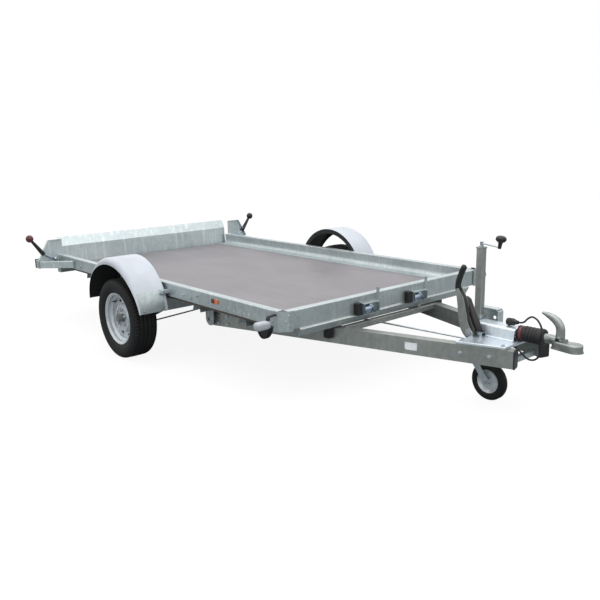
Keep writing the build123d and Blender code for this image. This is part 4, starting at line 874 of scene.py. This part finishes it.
def makeFlap(settings):
    # folded line given the sheet's thickness and pushed across; a round bead in a paler finish runs along its
    # upper fold as a painted highlight
    reach = settings["reach"]
    ahead, level = settings["bead"]
    sheet = prism(1, ribbon(settings["fold"], settings["sheet"]), -reach, reach)
    bead = carried(roundSection(settings["beadRadius"], 10), [[ahead, -reach, level], [ahead, reach, level]])
    addPiece("sillFlap", [sheet], galvanised, "bed", ["front_flap"])
    # painted highlight: the pale bead stands for the light caught along the fold's edge
    addPiece("sillHighlightBead", [bead], paleCasting, "bed", smooth=True)


traySettings = {
    "back": 2.213, "front": 2.467, "backHalf": 0.253, "frontHalf": 0.174, "under": 0.3835, "top": 0.397,
    "boltRows": (2.235, 2.335, 2.445), "slant": 0.311, "boltInset": 0.018,
}


def makeTray(settings):
    # trapezium pushed upwards; its bolts keep one distance from the slanting edges
    back, front, top = (settings[key] for key in ("back", "front", "top"))
    backHalf, frontHalf = settings["backHalf"], settings["frontHalf"]
    outline = [(back, -backHalf), (front, -frontHalf), (front, frontHalf), (back, backHalf)]
    plate = prism(2, outline, settings["under"], top)
    addPiece("headTrayPlate", [plate], brightTray, "drawbar", ["head_tray"], bevel=0.003)
    heads = [
        [x, side * (backHalf - settings["slant"] * (x - back) - settings["boltInset"]), top]
        for x in settings["boltRows"] for side in (-1, 1)
    ]
    addFixings("trayBolts", hexBolt(0.015, 0.008, 0.0115), heads, (0, 0, 1), "drawbar")


brakeLeverSettings = {
    "side": -0.118,
    "path": [
        (2.230, 0.3985), (2.200, 0.422), (2.179, 0.455), (2.168, 0.511), (2.153, 0.596), (2.139, 0.622),
        (2.127, 0.652),
    ],
    "wide": [0.050, 0.060, 0.058, 0.056, 0.046, 0.034, 0.024], "depth": 0.036, "wall": 0.09,
    "pivot": (2.214, 0.423), "pivotOut": 0.029,
    "pivotProfile": [(0.017, 0), (0.017, 0.004), (0.010, 0.005), (0.010, 0.010), (0.008, 0.011)],
    "ear": [(2.192, 0.397), (2.246, 0.397), (2.238, 0.424), (2.216, 0.446), (2.198, 0.438)],
    "earInner": 0.019, "earOuter": 0.024,
    "grip": [(2.1255, 0.634), (2.1215, 0.672), (2.130, 0.705), (2.142, 0.738), (2.157, 0.772), (2.165, 0.7835)],
    "gripRadius": 0.0165, "gripSteps": 30, "gripFlat": 0.94,
    "strutTop": (2.158, -0.084, 0.606), "strutFoot": (2.246, -0.084, 0.420), "strutRadius": 0.0215,
    "shoeBack": 2.236, "shoeFront": 2.276, "shoeUnder": 0.397, "shoeTop": 0.428,
    "shoeCheeks": ((-0.108, -0.103), (-0.069, -0.064)),
    "shoePin": (2.254, -0.112, 0.414), "shoePinRadius": 0.006, "shoePinLength": 0.052,
}


def makeBrakeLever(settings):
    # channel carried up the lever, open to the front; grip radius swells from both ends
    side, wall = settings["side"], settings["wall"]
    channel = [
        (-0.5, -0.5), (0.5, -0.5), (0.5, wall - 0.5), (wall - 0.5, wall - 0.5),
        (wall - 0.5, 0.5 - wall), (0.5, 0.5 - wall), (0.5, 0.5), (-0.5, 0.5),
    ]
    path = smoothProfile([(x, side, z) for x, z in settings["path"]], 26)
    wide = np.interp(path[:, 2], [z for _, z in settings["path"]], settings["wide"])
    lever = carried(channel, path, (0, 1, 0), wide, settings["depth"])
    addPiece(
        "handbrakeChannel", [lever], galvanisedBeam, "drawbar", ["handbrake_lever"], bevel=0.0015,
    )

    pivotX, pivotZ = settings["pivot"]
    pivot = turnedAt(settings["pivotProfile"], (pivotX, side - settings["pivotOut"], pivotZ), (0, 1, 0))
    inner, outer = settings["earInner"], settings["earOuter"]
    ears = [prism(1, settings["ear"], side + hand * inner, side + hand * outer) for hand in (-1, 1)]
    addPiece("handbrakePivot", [pivot, *ears], brightZinc, "drawbar")

    steps = settings["gripSteps"]
    gripPath = smoothProfile([(x, side, z) for x, z in settings["grip"]], steps)
    share = np.linspace(-1, 1, steps)
    roundedEnds = np.clip(1 - np.abs(share) ** 14, 0.06, 1) ** 0.4
    swell = settings["gripRadius"] * roundedEnds * (1 + 0.02 * np.sin(share * 16))
    grip = carried(roundSection(1.0, 22), gripPath, (0, 1, 0), swell, swell * settings["gripFlat"])
    addPiece("handbrakeGrip", [grip], blackPlastic, "drawbar", ["handbrake_grip"], smooth=True)

    top, foot = np.array(settings["strutTop"]), np.array(settings["strutFoot"])
    length, radius = float(np.linalg.norm(top - foot)), settings["strutRadius"]
    profile = [
        (0.006, 0), (0.009, 0.001), (radius * 0.96, 0.006), (radius, 0.011), (radius, length * 0.56),
        (radius * 0.9, length * 0.575), (radius * 0.88, length - 0.02), (0.010, length - 0.006),
        (0.007, length),
    ]
    body = turnedAt(profile, foot, top - foot)
    addPiece("brakeStrut", [body], blackPlastic, "drawbar", ["gas_strut"], smooth=True)
    back, front, under, shoeTop = (settings[key] for key in ("shoeBack", "shoeFront", "shoeUnder", "shoeTop"))
    shoe = [block((back, near, under), (front, far, shoeTop)) for near, far in settings["shoeCheeks"]]
    pinProfile = [(settings["shoePinRadius"], 0), (settings["shoePinRadius"], settings["shoePinLength"])]
    shoe.append(turnedAt(pinProfile, settings["shoePin"], (0, 1, 0), 14))
    addPiece("strutShoe", shoe, brightZinc, "drawbar")


jackSettings = {
    "middle": (2.160, 0.035), "size": 0.042, "corner": 0.007, "foot": 0.300, "top": 0.862,
    "capGrow": 0.005, "capHalf": 0.004, "collarGrow": 0.012, "collar": (0.432, 0.486),
    "lugHalf": 0.020, "lugReach": (0.026, 0.040), "lugLevels": (0.438, 0.480),
    "innerSize": 0.033, "innerCorner": 0.005, "innerFoot": 0.223, "innerTop": 0.620,
    "stubRadius": 0.0095, "stubGap": 0.003,
    "armSize": (0.016, 0.0065), "armCorner": 0.002, "armFrom": (2.160, 0.035, 0.886),
    "armTo": (2.272, 0.035, 0.874),
    "knobFoot": (2.272, 0.035, 0.866), "knobLean": (0.16, 0, 1.0), "knobSize": 0.0285,
    "knobSides": 48, "lobes": 8, "lobeDepth": 0.035, "lobeFrom": 0.020, "lobeRun": 0.008,
}


def makeJack(settings):
    # rounded box sections carried upwards, turned stub and knob
    x, y = settings["middle"]
    size, corner, top = settings["size"], settings["corner"], settings["top"]
    post = upright(boxSection(size, size, corner), x, y, settings["foot"], top)
    capSize, half = size + settings["capGrow"], settings["capHalf"]
    cap = upright(boxSection(capSize, capSize, corner), x, y, top - half, top + half)
    addPiece("jackOuterTube", [post, cap], galvanisedBeam, "drawbar", ["jack_post"])
    collarSize = size + settings["collarGrow"]
    collar = upright(boxSection(collarSize, collarSize, corner), x, y, *settings["collar"])
    (near, far), (lugLow, lugHigh), lugHalf = settings["lugReach"], settings["lugLevels"], settings["lugHalf"]
    lug = block((x - lugHalf, y + near, lugLow), (x + lugHalf, y + far, lugHigh))
    addPiece("jackClamp", [collar, lug], galvanised, "drawbar")
    innerSection = boxSection(settings["innerSize"], settings["innerSize"], settings["innerCorner"])
    leg = upright(innerSection, x, y, settings["innerFoot"], settings["innerTop"])
    addPiece("jackInnerLeg", [leg], brightZinc, "jack_leg", ["jack_inner_tube"])

    radius = settings["stubRadius"]
    stubProfile = [(0.014, 0), (0.014, 0.006), (radius, 0.008), (radius, 0.030), (0.0075, 0.032)]
    stub = turnedAt(stubProfile, (x, y, top + settings["stubGap"]), (0, 0, 1))
    armSection = boxSection(*settings["armSize"], settings["armCorner"])
    arm = carried(armSection, [settings["armFrom"], settings["armTo"]])
    addPiece("jackCrankArm", [stub, arm], brightZinc, "drawbar", ["jack_crank"])

    head = settings["knobSize"]
    profile = smoothProfile([
        (0.004, 0), (0.0095, 0.0), (0.0100, 0.010), (0.0112, 0.034), (0.0215, 0.040), (head, 0.047),
        (head, 0.056), (head * 0.93, 0.064), (head * 0.6, 0.0705), (0.001, 0.0725),
    ], 34)
    points, faces = turnedTemplate(profile, settings["knobSides"])
    # finger lobes: the radius waves with the turn where the knob is widest
    spread = np.hypot(points[:, 0], points[:, 1])
    widest = np.clip((spread - settings["lobeFrom"]) / settings["lobeRun"], 0, 1)
    wave = np.cos(settings["lobes"] * np.arctan2(points[:, 1], points[:, 0]))
    lobes = 1 + settings["lobeDepth"] * wave * widest
    points = points * np.column_stack([lobes, lobes, np.ones(len(lobes))])
    lean = framesAlong(np.array([settings["knobLean"]], float))[0]
    knob = (points @ lean.T + settings["knobFoot"], faces)
    addPiece("jackKnobHead", [knob], blackPlastic, "drawbar", ["jack_knob"], smooth=True)


couplingSettings = {
    "path": [
        (2.670, 0.455), (2.671, 0.485), (2.668, 0.512), (2.648, 0.539), (2.616, 0.556), (2.584, 0.566),
        (2.566, 0.569),
    ],
    "wide": [0.046, 0.044, 0.044, 0.042, 0.036, 0.026, 0.012],
    "across": [0.040, 0.036, 0.035, 0.036, 0.034, 0.028, 0.016], "steps": 34,
    "foot": (2.670, 0, 0.449), "footProfile": [(0.022, 0), (0.0215, 0.010), (0.019, 0.014)],
    "pin": (2.669, -0.023, 0.480), "pinProfile": [(0.0045, 0), (0.0045, 0.046), (0.003, 0.047)],
}


def makeCouplingHandle(settings):
    # rounded section carried along the grip, its two sizes changing along the way
    path = smoothProfile([(x, 0.0, z) for x, z in settings["path"]], settings["steps"])
    places = np.linspace(0, 1, len(settings["wide"]))
    along = np.linspace(0, 1, settings["steps"])
    wide, across = (np.interp(along, places, settings[key]) for key in ("wide", "across"))
    grip = carried(boxSection(1, 1, 0.42, 7), path, (0, 1, 0), wide, across)
    foot = turnedAt(settings["footProfile"], settings["foot"], (0, 0, 1))
    addPiece(
        "couplingGrip", [grip, foot], couplingCasting, "drawbar", ["coupling_handle"],
        smooth=True,
    )
    pin = turnedAt(settings["pinProfile"], settings["pin"], (0, 1, 0), 14)
    addPiece("couplingGripPin", [pin], brightZinc, "drawbar")


bellowsSettings = {
    "back": 2.441, "level": 0.438, "sides": 48,
    "ribs": 4, "ribSteps": 10, "ribFrom": 0.029, "ribTo": 0.108, "skinRadius": 0.0375, "foldRise": 0.0058,
    "start": (0.020, 0.0275),
    "front": [
        (0.0440, 0.111), (0.0455, 0.116), (0.0455, 0.134), (0.0435, 0.141), (0.036, 0.1445), (0.031, 0.1445),
        (0.030, 0.1405), (0.0235, 0.1405), (0.0225, 0.1445), (0.0195, 0.1445),
    ],
    "backRing": [(0.039, 0), (0.0408, 0.001), (0.0408, 0.008), (0.036, 0.0095)],
    "redRing": [(0.036, 0.009), (0.0406, 0.0105), (0.0408, 0.024), (0.037, 0.0285)],
}


def makeBellows(settings):
    # skin radius: a raised sine of the distance along for the folds, then the round front drum
    start, end, ribs = settings["ribFrom"], settings["ribTo"], settings["ribs"]
    along = np.linspace(start, end, ribs * settings["ribSteps"] + 1)
    fold = (along - start) / (end - start) * ribs
    skinRadius = settings["skinRadius"] + settings["foldRise"] * np.abs(np.sin(math.pi * fold)) ** 0.7
    skin = np.vstack([[settings["start"]], np.column_stack([skinRadius, along]), settings["front"]])
    for name, profile, material, slotName, replaced, smooth in (
        ("bellowsSkin", skin, blackRubber, "black_rubber", ["bellows"], True),
        ("bellowsBackRing", settings["backRing"], blackRubber, "black_rubber", (), False),
        ("bellowsRedRing", settings["redRing"], redPlastic, "black_plastic", (), False),
    ):
        turned = turnedAt(profile, (settings["back"], 0, settings["level"]), (1, 0, 0), settings["sides"])
        addPiece(name, [turned], material, "drawbar", replaced, smooth=smooth)


latchSettings = {
    "half": 0.228, "face": 1.556, "depth": 0.030, "sheet": 0.0025,
    "padMiddle": -0.106, "padSize": (0.041, 0.074), "padLevel": 0.4785,
    "boxMiddle": -0.003, "boxWidth": 0.140, "backSheet": 0.002, "lipDrop": 0.004, "openSide": 0.014,
    "low": 0.438, "high": 0.507,
    "barMiddle": 0.080, "barHalf": 0.013, "barThick": 0.004, "barTop": 0.583,
    "boltRadius": 0.0085, "boltBack": 0.012, "boltFrom": (-0.010, 0.010), "boltTo": (0.048, 0.006),
    "sleeveInset": 0.006, "sleeveReach": (-0.046, 0.010), "sleeveLevels": (0.004, 0.044), "sleeveCorner": 0.004,
    "hookAhead": 0.013, "hookSide": 0.008, "hookDrop": 0.040, "hookRadius": 0.010, "hookTurn": (-0.2, 1.35),
    "wire": 0.003, "stemSide": 0.0165, "stemDrop": 0.036, "stemRise": 0.002,
}


def makeFrontLatches(settings):
    # each latch: an open sheet box, a sliding bolt and its sleeve inside, an upright bar and a wire hook below
    face, low, high, sheet = (settings[key] for key in ("face", "low", "high", "sheet"))
    front = face + settings["depth"]
    pads, boxes, bolts, hooks = [], [], [], []
    for side in (-1, 1):
        middle = side * settings["half"]
        points, faces = roundedSlab(*settings["padSize"], settings["depth"], 0.007, 0.004)
        padPlace = [face, middle + settings["padMiddle"], settings["padLevel"]]
        pads.append((points[:, [2, 0, 1]] + padPlace, faces))

        box = middle + settings["boxMiddle"]
        left, right = box - settings["boxWidth"] / 2, box + settings["boxWidth"] / 2
        boxes.append(block((face, left, low), (face + settings["backSheet"], right, high), 0.0005))
        lip = high - settings["lipDrop"]
        upperLip = [(face, high), (front, lip), (front, lip - sheet), (face, high - sheet)]
        lowerLip = [(face, low), (front, low), (front, low + sheet), (face, low + sheet)]
        boxes += [prism(1, outline, left, right) for outline in (upperLip, lowerLip)]
        boxes.append(block((face, left, low), (front, left + sheet, high), 0.0005))
        boxes.append(block((face, right - sheet, low), (front, right, high - settings["openSide"]), 0.0005))
        bar, barHalf = middle + settings["barMiddle"], settings["barHalf"]
        barFront = face + settings["barThick"]
        boxes.append(block((face, bar - barHalf, low), (barFront, bar + barHalf, settings["barTop"]), 0.0015))

        boltX = front - settings["boltBack"]
        (fromSide, fromDrop), (toSide, toRise) = settings["boltFrom"], settings["boltTo"]
        slant = np.array([[boltX, box + fromSide, high - fromDrop], [boltX, box + toSide, low + toRise]])
        bolts.append(carried(roundSection(settings["boltRadius"], 16), slant))
        (near, far), (foot, top), inset = (
            settings[key] for key in ("sleeveReach", "sleeveLevels", "sleeveInset")
        )
        sleeveLow, sleeveHigh = (face + inset, box + near, low + foot), (front - inset, box + far, low + top)
        bolts.append(block(sleeveLow, sleeveHigh, settings["sleeveCorner"]))

        hookX, wire = face + settings["hookAhead"], roundSection(settings["wire"], 8)
        arc = np.linspace(*settings["hookTurn"], 12) * math.pi
        hookY = middle + settings["hookSide"] + settings["hookRadius"] * np.cos(arc)
        hookZ = low - settings["hookDrop"] + settings["hookRadius"] * np.sin(arc)
        hooks.append(carried(wire, np.column_stack([np.full(12, hookX), hookY, hookZ]), (1, 0, 0)))
        stemY = middle + settings["stemSide"]
        stem = [[hookX, stemY, low - settings["stemDrop"]], [hookX, stemY, low + settings["stemRise"]]]
        hooks.append(carried(wire, stem, (1, 0, 0)))
    addPiece("latchPadRubbers", pads, blackRubber, "bed", ["latch_pads"])
    addPiece("frontLatchBoxes", boxes, galvanised, "bed", ["front_latches"])
    addPiece("frontLatchBolts", bolts, blueZinc, "bed", smooth=True)
    addPiece("frontLatchHooks", hooks, paleCasting, "bed", smooth=True)


positionLampSettings = {
    "ahead": 1.500, "inner": 0.950, "outer": 1.050, "level": 0.489, "tall": 0.047, "long": 0.052,
    "corner": 0.017,
    "steps": 18, "arm": [(0.900, 0.534), (0.944, 0.534), (0.958, 0.528), (0.962, 0.505)],
    "armSize": (0.024, 0.010),
    "footHalf": 0.014, "footSides": (0.900, 0.906), "footLevels": (0.516, 0.552),
}


def makePositionLamps(settings):
    # lens: rounded box section carried outwards, shrinking in a quarter circle at both ends
    inner, outer, level, ahead, steps = (settings[key] for key in ("inner", "outer", "level", "ahead", "steps"))
    share = np.sin(np.linspace(-0.5, 0.5, steps) * math.pi)
    shrink = (1 - np.abs(share) ** 6) ** 0.5 * 0.85 + 0.15
    section = boxSection(settings["long"], settings["tall"], settings["corner"], 6)
    (footNear, footFar), (footLow, footHigh), half = (
        settings[key] for key in ("footSides", "footLevels", "footHalf")
    )
    lenses, arms = [], []
    for side in (-1, 1):
        place = side * ((inner + outer) / 2 + share * (outer - inner) / 2)
        path = np.column_stack([np.full(steps, ahead), place, np.full(steps, level)])
        lenses.append(carried(section, path, (0, 0, 1), shrink, shrink))
        arm = smoothProfile([(ahead, side * y, z) for y, z in settings["arm"]], 12)
        arms.append(carried(boxSection(*settings["armSize"], 0.003), arm))
        foot = block((ahead - half, side * footNear, footLow), (ahead + half, side * footFar, footHigh), 0.002)
        arms.append(foot)
    addPiece("positionLampLenses", lenses, whiteLens, "bed", smooth=True)
    addPiece("positionLampArms", arms, blackRubber, "bed", ["position_lamps"])


tailSettings = {
    "plateX": -1.445, "sheet": 0.004, "out": 1.086, "foot": 0.456, "slopeFoot": (1.083, 0.525),
    "slopeHead": (0.992, 0.685), "inner": 0.868, "step": (0.902, 0.556), "flange": 0.024, "topFlange": 0.012,
    "flangeSheet": (0.0035, 0.002), "topSheet": 0.003,
    "brace": {"foot": (0.014, 0.020, 0.487), "head": (-1.130, 0.908, 0.503), "size": (0.030, 0.058)},
    "endBack": -1.505, "endInner": 0.900, "endInset": 0.004, "endLevels": (0.452, 0.520),
    "beamLevels": (0.395, 0.447),
    "lampBack": -1.547, "lampBox": (0.912, 1.076, 0.448, 0.523), "lensX": (-1.555, -1.546),
    "lensLevels": (0.453, 0.518),
    "redLens": (0.917, 1.018), "amberLens": (1.020, 1.071),
    "hub": (0.938, 0.520), "bend": (0.985, 0.5415), "slot": (1.038, 0.572), "ball": (1.141, 0.7125),
    "ballRadius": 0.031, "leverX": -1.431, "rod": 0.0065,
    "hubProfile": [(0.017, 0), (0.017, 0.003), (0.012, 0.004), (0.012, 0.020), (0.009, 0.022)],
}


def makeTail(settings):
    # flat outlines pushed along the trailer, and boxes for the beam and lamps, the same on both sides
    plateX, sheet, back, headInner = (settings[key] for key in ("plateX", "sheet", "endBack", "inner"))
    (footY, footZ), (headY, headZ), (stepY, stepZ) = (
        settings[key] for key in ("slopeFoot", "slopeHead", "step")
    )
    slopeSide, slopeDrop = settings["flangeSheet"]
    brace = settings["brace"]
    lampInner, lampOuter, lampLow, lampHigh = settings["lampBox"]
    (lensBack, lensFront), (lensLow, lensHigh) = settings["lensX"], settings["lensLevels"]
    endLow, endHigh = settings["endLevels"]
    plates, ends, lensesRed, lensesAmber, backs = [], [], [], [], []
    for side in (-1, 1):
        outline = [
            (stepY, settings["foot"]), (settings["out"], settings["foot"]), (footY, footZ), (headY, headZ),
            (headInner, headZ), (headInner, stepZ), (stepY, stepZ),
        ]
        slope = [
            (footY, footZ), (headY, headZ), (headY - slopeSide, headZ - slopeDrop),
            (footY - slopeSide, footZ - slopeDrop),
        ]
        topSheet = headZ - settings["topSheet"]
        topEdge = [(headInner, headZ), (headY, headZ), (headY, topSheet), (headInner, topSheet)]
        for shape, depth in ((outline, sheet), (slope, settings["flange"]), (topEdge, settings["topFlange"])):
            plates.append(prism(0, [(side * y, z) for y, z in shape], plateX, plateX + depth))
        (footX, inset, footLevel), (headX, headSide, headLevel) = brace["foot"], brace["head"]
        braceFoot = [plateX + footX, side * (settings["out"] - inset), footLevel]
        bracePath = [braceFoot, [headX, side * headSide, headLevel]]
        plates.append(carried(boxSection(*brace["size"], 0.005), bracePath))
        endOuter = settings["out"] - settings["endInset"]
        endCorner = (back, side * settings["endInner"], endLow)
        ends.append(block(endCorner, (plateX, side * endOuter, endHigh), 0.006))
        lampCorner = (settings["lampBack"], side * lampInner, lampLow)
        backs.append(block(lampCorner, (back, side * lampOuter, lampHigh), 0.006))
        for lenses, (near, far) in ((lensesRed, settings["redLens"]), (lensesAmber, settings["amberLens"])):
            lenses.append(block((lensBack, side * near, lensLow), (lensFront, side * far, lensHigh), 0.006))
    beamLow, beamHigh = settings["beamLevels"]
    ends.append(block((back, -settings["endInner"], beamLow), (plateX, settings["endInner"], beamHigh), 0.004))
    addPiece("lampOutriggerPlates", plates, galvanisedTail, "bed", ["lamp_outriggers"])
    addPiece("rearCrossBeam", ends, galvanised, "bed", ["rear_beam"], bevel=0.002)
    addPiece("rearLampBacks", backs, blackPlastic, "bed", bevel=0.002)
    addPiece("rearLampRedLenses", lensesRed, redLens, "bed", ["rear_lamps"], bevel=0.004)
    addPiece("rearLampAmberLenses", lensesAmber, amberLens, "bed", bevel=0.004)

    # latch levers: a rod inside the plate, a tapering sleeve outside it and a ball
    rods, hubs = [], []
    for side, ballMaterial, name in ((-1, redPlastic, "Right"), (1, blackPlastic, "Left")):
        places = (settings[key] for key in ("hub", "bend", "slot", "ball"))
        hub, bend, slot, ball = (np.array([settings["leverX"], side * y, z]) for y, z in places)
        rodPath = [hub, bend, slot, slot + (ball - slot) * 0.1]
        rods.append(carried(roundSection(settings["rod"], 12), rodPath, (1, 0, 0)))
        hubs.append(turnedAt(settings["hubProfile"], (plateX + sheet, hub[1], hub[2]), (1, 0, 0)))
        length = float(np.linalg.norm(ball - slot))
        sleeveProfile = [
            (0.010, -0.006), (0.0185, 0.0), (0.0185, 0.018), (0.0115, length - 0.026), (0.0125, length - 0.020),
        ]
        sleeve = turnedAt(sleeveProfile, slot, ball - slot)
        rise = np.linspace(-0.97, 0.97, 22) * math.pi / 2
        ballProfile = settings["ballRadius"] * np.column_stack([np.cos(rise), np.sin(rise)])
        sphere = turnedAt(ballProfile, ball, ball - slot, 32)
        addPiece("tailLatchSleeve" + name, [sleeve], blackPlastic, "bed", smooth=True)
        addPiece("tailLatchBall" + name, [sphere], ballMaterial, "bed", smooth=True)
    addPiece("tailLatchRods", rods, blueZinc, "bed", ["tail_latches"], smooth=True)
    addPiece("tailLatchHubs", hubs, brightZinc, "bed")


chockSettings = {
    "middle": (1.262, 0.445), "radius": 0.066, "drop": 1.75, "inner": -0.812, "outer": -0.786,
    "rimScale": (0.985, 1.72), "rimWide": 0.006, "rimRise": 0.005,
    "clipHalf": 0.030, "clipSheets": ((-0.822, -0.817), (-0.781, -0.776)), "clipLow": 0.425,
}


def makeChock(settings):
    # half ellipse below its flat top, pushed sideways, with a raised rim on both faces and two clip sheets
    x, z = settings["middle"]
    radius, drop, inner, outer = (settings[key] for key in ("radius", "drop", "inner", "outer"))
    turn = np.linspace(math.pi, 2 * math.pi, 30)
    outline = np.column_stack([x + radius * np.cos(turn), z + radius * drop * np.sin(turn)])
    disc = prism(1, outline, inner, outer)
    along, down = settings["rimScale"]
    rimLine = np.column_stack([x + radius * along * np.cos(turn), z + radius * down * np.sin(turn)])
    rise = settings["rimRise"]
    rims = [prism(1, ribbon(rimLine, settings["rimWide"]), face, face + rise) for face in (inner - rise, outer)]
    addPiece(
        "wheelChockPlate", [disc, *rims], blackPlastic, "bed", ["wheel_chock"], bevel=0.0015,
    )
    half, low, high = settings["clipHalf"], settings["clipLow"], z + 0.002
    clips = [block((x - half, near, low), (x + half, far, high), 0.002) for near, far in settings["clipSheets"]]
    addPiece("chockClip", clips, galvanised, "bed")


fastenerSettings = {
    "railBolts": [
        (0.545, 0.499), (0.635, 0.494), (0.713, 0.519), (-0.62, 0.497), (-1.02, 0.497), (1.442, 0.516),
        (1.470, 0.488),
    ],
    "wall": 0.9005, "holeLevel": 0.491, "holeRows": (1.152, -0.750), "holePitch": 0.049, "holeCount": 9,
    "holeSink": 0.0042,
    "reflector": (0.875, 0.948, 0.500, 0.527), "reflectorRise": 0.006,
    "plateX": (1.944, 2.012), "plateZ": (0.314, 0.356), "plateSheet": 0.0012, "rivetX": 0.005, "rivetZ": 0.006,
    "beamFront": 2.505, "beamHalf": 0.1722, "beamSlant": 0.3115,
    "beamBolts": ((0.70, 0.312), (0.70, 0.360), (0.767, 0.312), (0.767, 0.360), (2.395, 0.336), (2.245, 0.336)),
    "cornerX": 1.5632, "cornerScrews": ((0.862, 0.530), (0.862, 0.474), (0.886, 0.502)),
    "band": (0.3795, 0.392), "bandSides": (0.965, 1.095),
}


def makeFasteners(settings):
    # small repeated parts set on the rails, the beams, the front corners and the mudguards' bands
    wall, level = settings["wall"], settings["holeLevel"]
    steps = np.arange(settings["holeCount"]) - (settings["holeCount"] - 1) / 2
    rows = np.add.outer(settings["holeRows"], steps * settings["holePitch"]).ravel()
    sleeve = turnedTemplate([(0.0082, 0), (0.0082, 0.0036), (0.0066, 0.0042), (0.0060, 0.0020)], 18)
    for side, name in ((-1, "Right"), (1, "Left")):
        heads = [[x, side * wall, z] for x, z in settings["railBolts"]]
        addFixings("railBolts" + name, hexBolt(0.013, 0.006, 0.0105), heads, (0, side, 0), "bed")
        sunk = np.full(len(rows), side * (wall - settings["holeSink"]))
        centres = np.column_stack([rows, sunk, np.full(len(rows), level)])
        addFixings("railHoleSleeves" + name, sleeve, centres, (0, side, 0), "bed", paleCasting)

    # side reflectors, amber in front and dark behind
    low, high, under, top = settings["reflector"]
    middle, rise = (low + high) / 2, settings["reflectorRise"]
    for name, start, end, material, slotName in (
        ("sideReflectorLenses", middle, high, amberLens, "lamp_red"),
        ("sideReflectorCases", low, middle, redPlastic, "black_plastic"),
    ):
        halves = [
            block((start, side * wall, under), (end, side * (wall + rise), top), 0.002) for side in (-1, 1)
        ]
        addPiece(name, halves, material, "bed", bevel=0.0015)

    # blank plate on the near beam's outer face, and bolt pairs at each bracket seam
    def onBeam(x):
        return np.array([x, -(settings["beamHalf"] + settings["beamSlant"] * (settings["beamFront"] - x))])

    ends = [onBeam(x) for x in settings["plateX"]]
    run = (ends[1] - ends[0]) / np.linalg.norm(ends[1] - ends[0])
    outward = np.array([run[1], -run[0]])
    lift = outward * settings["plateSheet"]
    lowZ, highZ = settings["plateZ"]
    addPiece(
        "blankPlate", [prism(2, [ends[0], ends[1], ends[1] + lift, ends[0] + lift], lowZ, highZ)],
        blankAluminium, "drawbar",
    )
    rivetLevels = (lowZ + settings["rivetZ"], highZ - settings["rivetZ"])
    rivets = [
        [*(end + lift - run * settings["rivetX"] * turn), z]
        for end, turn in ((ends[0], -1), (ends[1], 1)) for z in rivetLevels
    ]
    addFixings("blankPlateRivets", domeHead(0.0028, 0.0016), rivets, (*outward, 0), "drawbar", smooth=True)
    heads = np.array([[*onBeam(x), z] for x, z in settings["beamBolts"]])
    for name, mirror in (("Right", 1), ("Left", -1)):
        direction = (outward[0], mirror * outward[1], 0)
        addFixings(
            "beamBolts" + name, hexBolt(0.016, 0.009, 0.0125), heads * [1, mirror, 1], direction, "drawbar",
        )

    # screws at the front corners, through the sill and the side rail, and on the mudguards' bands
    screws = [[settings["cornerX"], side * y, z] for side in (-1, 1) for y, z in settings["cornerScrews"]]
    addFixings("cornerScrews", domeHead(0.0062, 0.0028), screws, (1, 0, 0), "bed", smooth=True)
    bandX, bandZ = settings["band"]
    bands = [[bandX, side * y, bandZ] for side in (-1, 1) for y in settings["bandSides"]]
    addFixings("guardBandScrews", hexBolt(0.010, 0.005, 0.009), bands, (1, 0, 0), "bed")


for makePiece, pieceSettings in (
    (makeCrossTube, crossTubeSettings), (makeFlap, flapSettings), (makeTray, traySettings),
    (makeBrakeLever, brakeLeverSettings), (makeJack, jackSettings), (makeCouplingHandle, couplingSettings),
    (makeBellows, bellowsSettings), (makeFrontLatches, latchSettings),
    (makePositionLamps, positionLampSettings),
    (makeTail, tailSettings), (makeChock, chockSettings), (makeFasteners, fastenerSettings),
):
    makePiece(pieceSettings)
print("drawbar, latches, lamps, tail and fasteners dressed")
